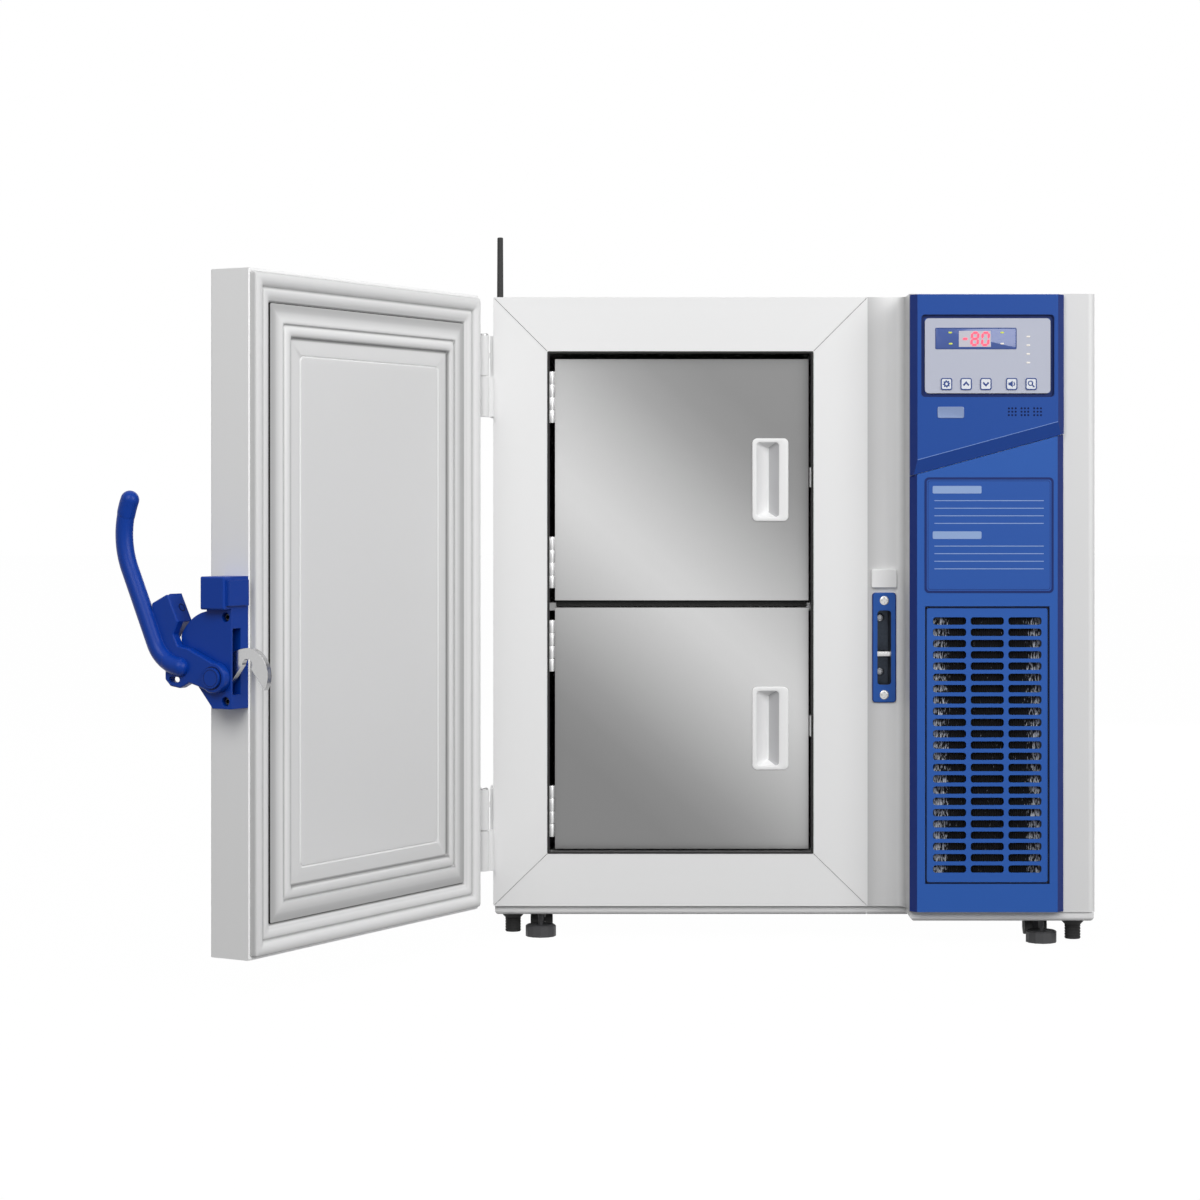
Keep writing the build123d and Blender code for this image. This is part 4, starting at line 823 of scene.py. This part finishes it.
class FREEZER_OT_chamber_seal(PieceOperator, bpy.types.Operator):
    """Set the black seal round the chamber's mouth and along the shelf between the inner doors."""

    bl_idname = "freezer.chamber_seal"
    bl_label = "Chamber Seal"

    def execute(self, context):
        x0, x1, z0, z1 = OPENING
        place = at((x0 + x1) / 2, 0, (z0 + z1) / 2)
        width, height = x1 - x0, z1 - z0
        wide = sizes().seal_width / MM
        profile = [(-0.6, 2.6), (-0.6, -0.5), (0.4, -1.2), (wide * 0.75, -0.7), (wide, 1.0),
                   (wide * 0.75, 4.0), (0.3, 6.0), (0.3, 3.2)]
        rings = [
            (rounded(width - 2 * margin, height - 2 * margin, 2.0), depth) for margin, depth in profile
        ]
        bm = bmesh.new()
        loft(bm, rings, place, closed=True)
        middle = at((x0 + x1) / 2 + 2.2, 0, SHELF_MIDDLE)
        strip = rounded(306, 7.4, 1.6)
        solid(bm, [(strip, 44.6), (strip, 31.5), (rounded(304, 5.6, 1.4), 30.0)], middle)
        add_piece("chamber_seal", bm, black_rubber(), "cabinet")
        return {"FINISHED"}


class FREEZER_OT_screws(PieceOperator, bpy.types.Operator):
    """Drive the screws of the strike, the lock, the hinges and the back."""

    bl_idname = "freezer.screws"
    bl_label = "Screws"

    def execute(self, context):
        radius = sizes().screw_radius / MM
        bm = bmesh.new()
        for height in (410.0, 296.0):
            fastener(bm, at(STRIKE_X, -3.0, height), radius, 1.6, "cross")
        add_piece("strike_screws", bm, bright_steel(), "cabinet")
        black_bolt = finish("blackened_bolt", srgb(62, 66, 74), 0.3, metallic=0.9, tint=0.2, grain=500)
        bm = bmesh.new()
        for height in (388.0, 322.0):
            fastener(bm, at(STRIKE_X - 1.5, 37.0, height), 5.2, 2.6, "hex")
        zinc_bolt = finish("zinc_bolt", srgb(176, 178, 182), 0.28, metallic=0.9, tint=0.15, grain=500)
        add_piece("strike_bolts", bm, zinc_bolt, "cabinet")
        bm = bmesh.new()
        for height in (64.0, -25.0):
            fastener(bm, on_lock(10, height, 21), 4.2, 5.0, "hex")
        add_piece("lock_bolts", bm, black_bolt, "outer_door")
        bm = bmesh.new()
        for hinge in HINGE_LOWS:
            for height in (hinge + 22, hinge + 76):
                fastener(bm, turned(at(-364, 31, height), -90, "Z"), 4.2, 1.6, "cross")
            cap = at(-372, -11, hinge + 98) @ UP
            rings = discs((6.6, 0.0), (6.6, 1.0), (5.6, 2.0), (3.2, 2.7), (1, 2.9))
            solid(bm, rings, cap)
        add_piece("hinge_screws", bm, bright_steel(), "cabinet")
        bm = bmesh.new()
        for hinge in HINGE_LOWS:
            for height in (hinge + 22, hinge + 76):
                fastener(bm, turned(DOOR @ at(8, -28, height), -90, "Z"), 4.2, 1.6, "cross")
        add_piece("door_leaf_screws", bm, bright_steel(), "outer_door")
        bm = bmesh.new()
        for x in (-342, -120, 110, 304, 351):
            for height in (758, 470, 62):
                fastener(bm, turned(at(x, 650, height), 180, "Z"), 3.6, 1.5, "cross")
        add_piece("rear_screws", bm, bright_steel(), "cabinet")
        return {"FINISHED"}


class FREEZER_OT_lock_marks(PieceOperator, bpy.types.Operator):
    """Paint shade as dark rings in the lever's pivot cap grooves and a dark disc in the padlock hole in its
    block, and round the grip's ends.
    """

    bl_idname = "freezer.lock_marks"
    bl_label = "Lock Marks"

    def execute(self, context):
        # Dark blue rings and disc: painted shade in the pivot cap's grooves and the padlock hole
        shadow = finish("casting_painted_shade", srgb(8, 26, 78), 0.5, tint=0.1, bump=0.02, specular=0.2)
        bm = bmesh.new()
        hub = on_lock(0, 0, 40.4)
        frame_ring(bm, circle(12.4), circle(11.1), 0.2, -0.12, hub)
        frame_ring(bm, circle(9.2), circle(8.6), -2.9, -3.1, hub)
        add_piece("pivot_groove_shade", bm, shadow, "lever")
        hole = turned(from_pivot(-52.7, 73.2, 24.4), 205.6, "X")
        bm = bmesh.new()
        rings = discs((4.6, 0.3), (4.6, -0.25), (4.0, -0.4), (3.6, -0.3), (3.4, 0.2))
        solid(bm, rings, hole)
        add_piece("padlock_hole_shade", bm, shadow, "lever")
        bm = bmesh.new()
        for depth, height, slope, bend in GRIP_ENDS:
            self.grip_end(bm, depth, height, slope, bend)
        add_piece("grip_ends", bm, blue_casting(), "lever")
        return {"FINISHED"}

    def grip_end(self, bm, depth, height, slope, bend):
        """Sleeve with a domed end that follows the grip's bend; slope is the way it points, in degrees."""
        middle = from_pivot(depth, height, GRIP_REACH)
        rings = [(9.5, -19.0), (9.9, -17.5)] + [(GRIP_RADIUS, along) for along in (-15.0, -10.0, -5.0)]
        for step in range(ROUND_STEPS):
            angle = math.pi / 2 * step / ROUND_STEPS
            rings.append((GRIP_RADIUS * math.cos(angle), GRIP_RADIUS * math.sin(angle)))
        bent = []
        for radius, along in rings:
            shift = min(along, 0) ** 2 / (2 * bend)
            bent.append(([(x, z + shift) for x, z in circle(radius)], along))
        solid(bm, bent, turned(middle, slope, "X"))


class FREEZER_OT_inner_fittings(PieceOperator, bpy.types.Operator):
    """Mould the inner doors' pulls with sloping bowls and painted shade on their far walls, sleeve the
    hinge knuckles and sheet the backs.
    """

    bl_idname = "freezer.inner_fittings"
    bl_label = "Inner Door Fittings"

    def pull(self, which, height):
        """Framed pull with a bowl that slopes to a narrow valley, its wall past the valley a grey copy with
        painted shade.
        """
        def ring(width, tall, radius, depth, shift=0.0):
            return [(x + shift, z) for x, z in rounded(width, tall, radius)], depth

        rings = [
            ring(44, 101, 6.0, 20.0), ring(44, 101, 6.0, 18.2), ring(43.2, 100.2, 5.7, 17.3),
            ring(41.8, 98.8, 5.2, 17.02), ring(28.8, 92.2, 4.6, 17.02, -3), ring(27.8, 91.2, 4.3, 17.3, -3),
            ring(27.0, 90.4, 4.0, 18.2, -3), ring(2.6, 78, 1.2, 31.0, -2.4), ring(1.6, 76, 0.7, 31.4, -2.4),
        ]
        # A grey copy of the white moulding on the bowl's far wall: painted shade
        shade = finish("pull_shade", srgb(196, 196, 198), 0.4, tint=0.02, bump=0.02)
        pieces = ((f"{which}_pull", white_moulding(), False), (f"{which}_pull_shade_wall", shade, True))
        for name, made, shaded in pieces:
            bm = bmesh.new()
            loft(bm, rings, at(PULL_X, 0, height), cap_end=True)
            spare = [face for face in bm.faces if self.in_shade(face) != shaded]
            bmesh.ops.delete(bm, geom=spare, context="FACES")
            replaces = () if shaded else [f"{which}_inner_pull"]
            add_piece(name, bm, made, f"{which}_door", replaces)

    def in_shade(self, face):
        """Whether a face is on the bowl's wall that looks back towards the hinge, which takes the painted
        shade.
        """
        middle = face.calc_center_median() / MM
        bowl_lip, valley = 18.3, PULL_X + 2
        return middle.y > bowl_lip and middle.x > valley

    def execute(self, context):
        bodies = {"upper_door": [], "lower_door": [], "cabinet": []}
        for body, lows in (("upper_door", (424.5, 625.6)), ("lower_door", (122.0, 323.1))):
            for low in lows:
                for knuckle in range(4):
                    owner = body if knuckle % 2 else "cabinet"
                    bodies[owner].append(low + knuckle * KNUCKLE)
        for body, starts in bodies.items():
            bm = bmesh.new()
            rings = discs(
                (3.4, 0.35), (4.0, 0.4), (4.15, 0.8),
                (4.15, KNUCKLE - 0.8), (4.0, KNUCKLE - 0.4), (3.4, KNUCKLE - 0.35),
            )
            for start in starts:
                solid(bm, rings, at(-290, 19, start) @ UP)
            sleeve = finish("knuckle_steel", srgb(226, 226, 226), 0.3, metallic=0.85, grain=300, tint=0.05)
            add_piece(f"{body}_knuckles", bm, sleeve, body)
        self.pull("upper", 556.25)
        self.pull("lower", 253.75)
        self.back_sheet("upper")
        self.back_sheet("lower")
        return {"FINISHED"}

    def back_sheet(self, which):
        """Embossed steel sheet over the foam on the back of an inner door."""
        low, high = node_box(f"{which}_inner_core")
        width, height = high[0] - low[0], high[2] - low[2]
        bm = bmesh.new()
        solid(bm, [
            (rounded(width - 1, height - 1, 2.0), -0.4), (rounded(width - 1, height - 1, 2.0), 0.3),
            (rounded(width - 1.6, height - 1.6, 1.7), 0.5), (rounded(width - 30, height - 30, 7.0), 0.5),
            (rounded(width - 34, height - 34, 5.0), 0.12), (rounded(width - 38, height - 38, 3.0), 0.12),
            (rounded(width - 42, height - 42, 1.5), 0.4),
        ], at((low[0] + high[0]) / 2, high[1], (low[2] + high[2]) / 2))
        add_piece(f"{which}_back_sheet", bm, satin_steel(), f"{which}_door")


class FREEZER_OT_service_fittings(PieceOperator, bpy.types.Operator):
    """Fit the mains inlet's pins and the casters' hub caps."""

    bl_idname = "freezer.service_fittings"
    bl_label = "Service Fittings"

    def execute(self, context):
        brass = finish("pin_brass", srgb(196, 176, 120), 0.3, metallic=1.0, tint=0.06)
        bm = bmesh.new()
        for x, z in ((-7, -3), (7, -3), (0, 4)):
            pin = rounded(2, 4, 0.4)
            solid(bm, [(pin, 626.2), (pin, 643.0), (rounded(1.2, 3, 0.3), 644.0)],
                  at(INLET_X + x, 0, INLET_Z + z))
        add_piece("inlet_pins", bm, brass, "cabinet")
        for corner in ("front_left", "front_right", "rear_left", "rear_right"):
            low, high = node_box(f"{corner}_caster_wheels")
            middle = [(a + b) / 2 for a, b in zip(low, high)]
            bm = bmesh.new()
            for side, turn in ((low[0], -90), (high[0], 90)):
                hub = turned(at(side, middle[1], middle[2]), turn, "Z")
                rings = discs((5.2, 0.3), (5.2, -0.1), (4.4, -0.3), (2.2, -0.35), (1.6, -0.1))
                solid(bm, rings, hub)
            add_piece(f"{corner}_hub_caps", bm, black_plastic(), f"{corner}_wheels")
        return {"FINISHED"}


class FREEZER_OT_display(PieceOperator, bpy.types.Operator):
    """Glaze the display and light its digits and lamps."""

    bl_idname = "freezer.display"
    bl_label = "Display"

    segments = {"a": ((0, 2), (1, 2)), "b": ((1, 2), (1, 1)), "c": ((1, 1), (1, 0)), "d": ((0, 0), (1, 0)),
                "e": ((0, 1), (0, 0)), "f": ((0, 2), (0, 1)), "g": ((0, 1), (1, 1))}

    def digit(self, bm, lit, place, tall):
        """One seven-segment figure, with a slight slant."""
        wide = tall * 0.5
        thick = tall * 0.2
        for name in lit:
            (ax, az), (bx, bz) = self.segments[name]
            a = Vector((ax * wide, az * tall / 2))
            b = Vector((bx * wide, bz * tall / 2))
            along = (b - a).normalized()
            side = Vector((-along.y, along.x)) * thick / 2
            start = a + along * thick * 0.1
            end = b - along * thick * 0.1
            points = [start, start + along * thick / 2 + side, end - along * thick / 2 + side, end,
                      end - along * thick / 2 - side, start + along * thick / 2 - side]
            prism(bm, [(p.x + p.y * 0.08, p.y) for p in points], 0.0, -0.25, place)

    def execute(self, context):
        glass_face = OVERLAY_FACE + 0.15
        bm = bmesh.new()
        window = at(PANEL_MIDDLE - 14, 0, 723)
        solid(bm, [(rounded(95, 24, 1.2), glass_face + 0.3), (rounded(95, 24, 1.2), glass_face - 0.05),
                   (rounded(94, 23, 1.0), glass_face - 0.3)], window)
        lens = finish("display_lens", srgb(48, 80, 156), 0.16, tint=0.03, bump=0.0, coat=0.5)
        add_piece("display_window", bm, lens, "cabinet")
        bm = bmesh.new()
        frame_ring(bm, rounded(96.6, 25.6, 1.6), rounded(94.6, 23.6, 1.0), OVERLAY_FACE,
                   OVERLAY_FACE - 0.25, window)
        add_piece("display_border", bm, dark_ink(), "cabinet")
        bm = bmesh.new()
        screen = at(PANEL_MIDDLE - 15.3, 0, 722.5)
        prism(bm, rounded(38, 19, 0.6), glass_face - 0.28, glass_face - 0.5, screen)
        back = finish("screen_back", srgb(205, 203, 214), 0.3, tint=0.03, bump=0.02)
        add_piece("display_screen", bm, back, "cabinet")
        tall = sizes().digit_height / MM
        bm = bmesh.new()
        low = 722.5 - tall / 2
        face = glass_face - 0.5
        self.digit(bm, "abcdefg", at(PANEL_MIDDLE - 19.5, face, low), tall)
        self.digit(bm, "abcdef", at(PANEL_MIDDLE - 7.0, face, low), tall)
        self.digit(bm, "g", at(PANEL_MIDDLE - 31.0, face, low), tall)
        lit = glow("digit_light", colours().digits, 0.55)
        add_piece("display_digits", bm, lit, "cabinet")
        lamps = [
            ("green_lamps", srgb(196, 206, 70), 0.35, [(185, 730), (246.7, 730), (185.5, 716.8)]),
            ("clear_lamps", srgb(238, 232, 222), 0.15,
             [(246.7, 716.8), (277.7, 725.2), (277.7, 714.9), (277.7, 704.6), (277.7, 694.3)]),
        ]
        window_end = 260
        for name, colour, strength, spots in lamps:
            bm = bmesh.new()
            for x, z in spots:
                depth = glass_face - 0.3 if x < window_end else OVERLAY_FACE
                solid(bm, [(rounded(4.4, 2.0, 0.9), depth + 0.05), (rounded(4.2, 1.8, 0.8), depth - 0.3),
                           (rounded(3.2, 1.0, 0.4), depth - 0.5)], at(x, 0, z))
            add_piece(name, bm, glow(name, colour, strength), "cabinet")
        return {"FINISHED"}


class FREEZER_OT_key_marks(PieceOperator, bpy.types.Operator):
    """Print the keys' borders and signs, each on its own key."""

    bl_idname = "freezer.key_marks"
    bl_label = "Key Marks"

    def sign(self, bm, key, place):
        """Raised print of one key's sign."""
        low, high = 0.0, -0.12
        if key == "settings":
            steps = 48
            tip, root = circle(4.4, steps), circle(3.4, steps)
            outer = [root[s] if (s // 3) % 2 else tip[s] for s in range(steps)]
            frame_ring(bm, outer, circle(1.6, steps), low, high, place)
        elif key in ("up", "down"):
            rise = 1.8 if key == "up" else -1.8
            ribbon(bm, [(-3.3, -rise), (0, rise), (3.3, -rise)], 2.0, low, high, place)
        elif key == "silence":
            horn = [(-3.9, -1.6), (-1.9, -1.6), (1.1, -4.0), (1.1, 4.0), (-1.9, 1.6), (-3.9, 1.6)]
            prism(bm, horn, low, high, place)
            ribbon(bm, [(2.3, -2.6), (3.4, 0), (2.3, 2.6)], 1.3, low, high, place)
        else:
            shift = place @ at(-0.9, 0, 0.9)
            frame_ring(bm, circle(3.2), circle(1.9), low, high, shift)
            ribbon(bm, [(1.0, -1.0), (3.8, -3.8)], 1.7, low, high, place)

    def execute(self, context):
        for key, offset in KEYS.items():
            place = at(PANEL_MIDDLE + offset, KEY_FACE, KEY_ROW)
            bm = bmesh.new()
            frame_ring(bm, rounded(13.4, 14.2, 2.4), rounded(10.9, 11.7, 1.5), 0.0, -0.12, place)
            self.sign(bm, key, place)
            add_piece(f"{key}_mark", bm, dark_ink(), f"{key}_button")
        return {"FINISHED"}


class FREEZER_OT_panel_plates(PieceOperator, bpy.types.Operator):
    """Fix the control recess, blank plate and ruled label place to the blue panels, with dark discs as
    painted shade in the sounder holes and a painted highlight along the bezel's band.
    """

    bl_idname = "freezer.panel_plates"
    bl_label = "Panel Plates"

    def execute(self, context):
        bm = bmesh.new()
        loft(bm, [
            (rounded(157.8, 97.8, 4.4), -61.9), (rounded(157.8, 97.8, 4.4), -65.9),
            (rounded(157.0, 97.0, 4.0), -65.9), (rounded(156.6, 96.6, 3.8), -62.4),
            (rounded(149.3, 89.3, 1.0), -62.4), (rounded(149.3, 89.3, 1.0), -61.9),
        ], at(PANEL_MIDDLE, 0, 702.5), closed=True)
        border = finish("recess_paint", srgb(22, 42, 100), 0.4, tint=0.03, bump=0.02, specular=0.2)
        add_piece("control_recess", bm, border, "cabinet")
        bm = bmesh.new()
        place = at(185.5, BEZEL_FACE, 635.2)
        solid(bm, [
            (rounded(31.5, 13.5, 2.2), 0.1), (rounded(31.5, 13.5, 2.2), -0.5),
            (rounded(30.3, 12.3, 1.8), -0.9), (rounded(28.6, 10.8, 1.2), -0.8),
        ], place)
        plate = finish(
            "blank_plate", srgb(128, 146, 184), 0.35, metallic=0.3, tint=0.04, grain=500, bump=0.03,
        )
        add_piece("blank_plate", bm, plate, "cabinet")
        label = at(231.5, PANEL_FACE, 489.5)
        bm = bmesh.new()
        prism(bm, rounded(153, 137, 5), 0.05, -0.25, label)
        film = finish("label_film", srgb(40, 88, 172), 0.32, tint=0.02, bump=0.01, specular=0.3)
        add_piece("label_film", bm, film, "cabinet")
        bm = bmesh.new()
        frame_ring(bm, rounded(153.4, 137.4, 5.2), rounded(148.2, 132.2, 3.4), -0.2, -0.4, label)
        frame_ring(bm, rounded(145.5, 129.5, 2.8), rounded(144.5, 128.5, 2.5), -0.2, -0.34, label)
        border = finish("label_border", srgb(26, 46, 108), 0.4, tint=0.03, bump=0.0, specular=0.2)
        add_piece("label_border", bm, border, "cabinet")
        bm = bmesh.new()
        for height in (54, 0):
            prism(bm, rounded(58, 9, 1.5), -0.2, -0.34, label @ at(-38, 0, height))
            for row in range(4):
                prism(bm, rounded(130, 0.9, 0.3), -0.2, -0.34, label @ at(0, 0, height - 13 - row * 9))
        rule = finish("label_rule", srgb(150, 176, 220), 0.4, tint=0.03, bump=0.0, specular=0.3)
        add_piece("label_rules", bm, rule, "cabinet")
        # Dark discs over the sounder holes: painted shade inside the holes
        bm = bmesh.new()
        for group in (-1, 0, 1):
            for column in (-1, 0, 1):
                for row in (-1, 0, 1):
                    dot = at(PANEL_MIDDLE + 44 + group * 15 + column * 4, BEZEL_FACE, 636 + row * 4)
                    solid(bm, discs((1.25, 0.05), (1.2, -0.05), (0.8, -0.02), steps=12), dot)
        dots = finish("sounder_hole_shade", srgb(12, 24, 66), 0.6, tint=0.05, bump=0.0, specular=0.1)
        add_piece("sounder_hole_shade", bm, dots, "cabinet")
        # A pale line along the upper edge of the bezel's sloping band: a painted highlight
        bm = bmesh.new()
        ribbon(bm, [(146.2, 578.9), (312.8, 624.3)], 0.8, 0.02, -0.12, at(0, BEZEL_FACE, 0))
        line = finish("band_highlight", srgb(108, 140, 205), 0.35, tint=0.02, bump=0.0)
        add_piece("band_highlight", bm, line, "cabinet")
        return {"FINISHED"}


class FREEZER_OT_grille_filter(PieceOperator, bpy.types.Operator):
    """Fold the pleated dust filter behind the grille, with its side channels and a dark ring of painted
    shade in the grille's gap.
    """

    bl_idname = "freezer.grille_filter"
    bl_label = "Grille Filter"

    def execute(self, context):
        pleats = sizes().filter_pleats
        width, height = 126.0, 308.0
        bm = bmesh.new()
        outline = []
        for i in range(pleats * 2 + 1):
            outline.append((-width / 2 + width * i / (pleats * 2), 1.6 if i % 2 else 0.0))
        rows = []
        for z in (-height / 2, height / 2):
            place = at(PANEL_MIDDLE, FILTER_FACE, GRILLE_MIDDLE + z)
            for back in (0.0, 0.4):
                spots = [place @ Vector((x * MM, (y + back) * MM, 0)) for x, y in outline]
                rows.append([bm.verts.new(spot) for spot in spots])
        front_low, back_low, front_high, back_high = rows
        for i in range(len(outline) - 1):
            bm.faces.new((front_low[i], front_low[i + 1], front_high[i + 1], front_high[i]))
            bm.faces.new((back_low[i], back_low[i + 1], back_high[i + 1], back_high[i]))
            bm.faces.new((front_low[i], front_low[i + 1], back_low[i + 1], back_low[i]))
            bm.faces.new((front_high[i], front_high[i + 1], back_high[i + 1], back_high[i]))
        for i in (0, len(outline) - 1):
            bm.faces.new((front_low[i], back_low[i], back_high[i], front_high[i]))
        add_piece("dust_filter", bm, filter_mesh(), "cabinet")
        bm = bmesh.new()
        for side in (-1, 1):
            place = at(PANEL_MIDDLE + side * 66.5, 0, GRILLE_MIDDLE)
            channel = rounded(5.5, 312, 1.0)
            solid(bm, [(channel, -52.2), (channel, -55.0), (rounded(3.5, 310, 0.8), -55.6)], place)
        add_piece("filter_channels", bm, black_plastic(), "cabinet")
        low, high = node_box("filter_grille")
        width, height = high[0] - low[0], high[2] - low[2]
        # A dark ring round the grille: painted shade in its gap
        bm = bmesh.new()
        frame_ring(bm, rounded(width + 3.4, height + 3.4, 1.4), rounded(width + 0.3, height + 0.3, 0.6),
                   0.1, -0.15, at((low[0] + high[0]) / 2, PANEL_FACE, (low[2] + high[2]) / 2))
        gap = finish("grille_gap_shade", srgb(10, 14, 34), 0.6, tint=0.05, bump=0.0, specular=0.1)
        add_piece("grille_gap_shade", bm, gap, "cabinet")
        return {"FINISHED"}


class FREEZER_OT_stage(PieceOperator, bpy.types.Operator):
    """Set the floor, the soft lights and the camera."""

    bl_idname = "freezer.stage"
    bl_label = "Stage"

    room_light = 0.28
    floor_light = 1.1
    floor_share = 0.9
    photo_width = 1200

    def lamp(self, name, spot, aim, size, power):
        """Square soft light that faces a point."""
        light = bpy.data.lights.new(name, "AREA")
        light.size = size
        light.energy = power
        lamp = bpy.data.objects.new(name, light)
        lamp.location = spot
        lamp.rotation_euler = (Vector(aim) - Vector(spot)).to_track_quat("-Z", "Y").to_euler()
        bpy.context.scene.collection.objects.link(lamp)

    def seen_ray(self, tree):
        """1 for rays from the camera, from gloss and through glass."""
        path = tree.nodes.new("ShaderNodeLightPath").outputs
        seen = math_step(tree, "MAXIMUM", path["Is Camera Ray"], path["Is Glossy Ray"])
        return math_step(tree, "MAXIMUM", seen, path["Is Transmission Ray"])

    def execute(self, context):
        scene = context.scene
        scene.view_settings.view_transform = "Standard"
        world = bpy.data.worlds.new("studio")
        world.use_nodes = True
        scene.world = world
        tree = world.node_tree
        backdrop = tree.nodes["Background"]
        backdrop.inputs["Color"].default_value = (1, 1, 1, 1)
        level = map_range(tree, self.seen_ray(tree), after=(self.room_light, 1.0))
        tree.links.new(level, backdrop.inputs["Strength"])
        bm = bmesh.new()
        bmesh.ops.create_grid(bm, x_segments=1, y_segments=1, size=30)
        mesh = bpy.data.meshes.new("studio_floor")
        bm.to_mesh(mesh)
        bm.free()
        floor = bpy.data.objects.new("studio_floor", mesh)
        scene.collection.objects.link(floor)
        pale = bpy.data.materials.new("studio_floor")
        pale.use_nodes = True
        tree = pale.node_tree
        shader = tree.nodes["Principled BSDF"]
        shader.inputs["Base Color"].default_value = (0.15, 0.15, 0.15, 1)
        shader.inputs["Roughness"].default_value = 0.9
        shader.inputs["Specular IOR Level"].default_value = 0.0
        light = tree.nodes.new("ShaderNodeEmission")
        light.inputs["Color"].default_value = (1, 1, 1, 1)
        light.inputs["Strength"].default_value = self.floor_light
        mix = tree.nodes.new("ShaderNodeMixShader")
        share = math_step(tree, "MULTIPLY", self.seen_ray(tree), self.floor_share)
        tree.links.new(share, mix.inputs["Fac"])
        tree.links.new(shader.outputs["BSDF"], mix.inputs[1])
        tree.links.new(light.outputs["Emission"], mix.inputs[2])
        tree.links.new(mix.outputs["Shader"], tree.nodes["Material Output"].inputs["Surface"])
        mesh.materials.append(pale)
        self.lamp("key", (-1.2, -3.0, 2.4), (-0.1, 0, 0.6), 2.0, 50)
        self.lamp("fill", (1.8, -2.4, 1.8), (-0.3, 0, 0.55), 2.0, 53)
        self.lamp("top", (0.0, 0.2, 2.6), (0, 0.2, 0.5), 2.0, 4)
        self.lamp("rear", (0.5, 3.2, 1.3), (0, 0.4, 0.4), 2.2, 27)
        lens = bpy.data.cameras.new("camera")
        lens.sensor_width = 36
        lens.lens = 83.82
        lens.shift_y = -88 / self.photo_width
        camera = bpy.data.objects.new("camera", lens)
        camera.location = (-0.2308, -3.382, 0.517)
        camera.rotation_euler = (math.pi / 2, 0, 0)
        scene.collection.objects.link(camera)
        scene.camera = camera
        return {"FINISHED"}


class FREEZER_PT_panel(bpy.types.Panel):
    """Sidebar panel that lists the piece operators and settings."""

    bl_idname = "FREEZER_PT_panel"
    bl_label = "Freezer"
    bl_space_type = "VIEW_3D"
    bl_region_type = "UI"
    bl_category = "Freezer"

    def draw(self, context):
        for operator in OPERATORS:
            self.layout.operator(operator.bl_idname)
        for group in (context.scene.freezer_sizes, context.scene.freezer_colours):
            for name in group.__annotations__:
                self.layout.prop(group, name)


OPERATORS = [
    FREEZER_OT_finishes, FREEZER_OT_door_lining, FREEZER_OT_door_gasket, FREEZER_OT_chamber_seal,
    FREEZER_OT_screws, FREEZER_OT_lock_marks, FREEZER_OT_inner_fittings, FREEZER_OT_service_fittings,
    FREEZER_OT_display, FREEZER_OT_key_marks, FREEZER_OT_panel_plates,
    FREEZER_OT_grille_filter, FREEZER_OT_stage,
]
CLASSES = [FreezerSizes, FreezerColours, *OPERATORS, FREEZER_PT_panel]


def register():
    """Register the classes and the scene's settings."""
    for cls in CLASSES:
        bpy.utils.register_class(cls)
    bpy.types.Scene.freezer_sizes = PointerProperty(type=FreezerSizes)
    bpy.types.Scene.freezer_colours = PointerProperty(type=FreezerColours)


def unregister():
    """Remove the settings and the classes."""
    del bpy.types.Scene.freezer_sizes
    del bpy.types.Scene.freezer_colours
    for cls in reversed(CLASSES):
        bpy.utils.unregister_class(cls)


def main():
    register()
    for operator in OPERATORS:
        group, name = operator.bl_idname.split(".")
        getattr(getattr(bpy.ops, group), name)()


if __name__ == "__main__":
    main()
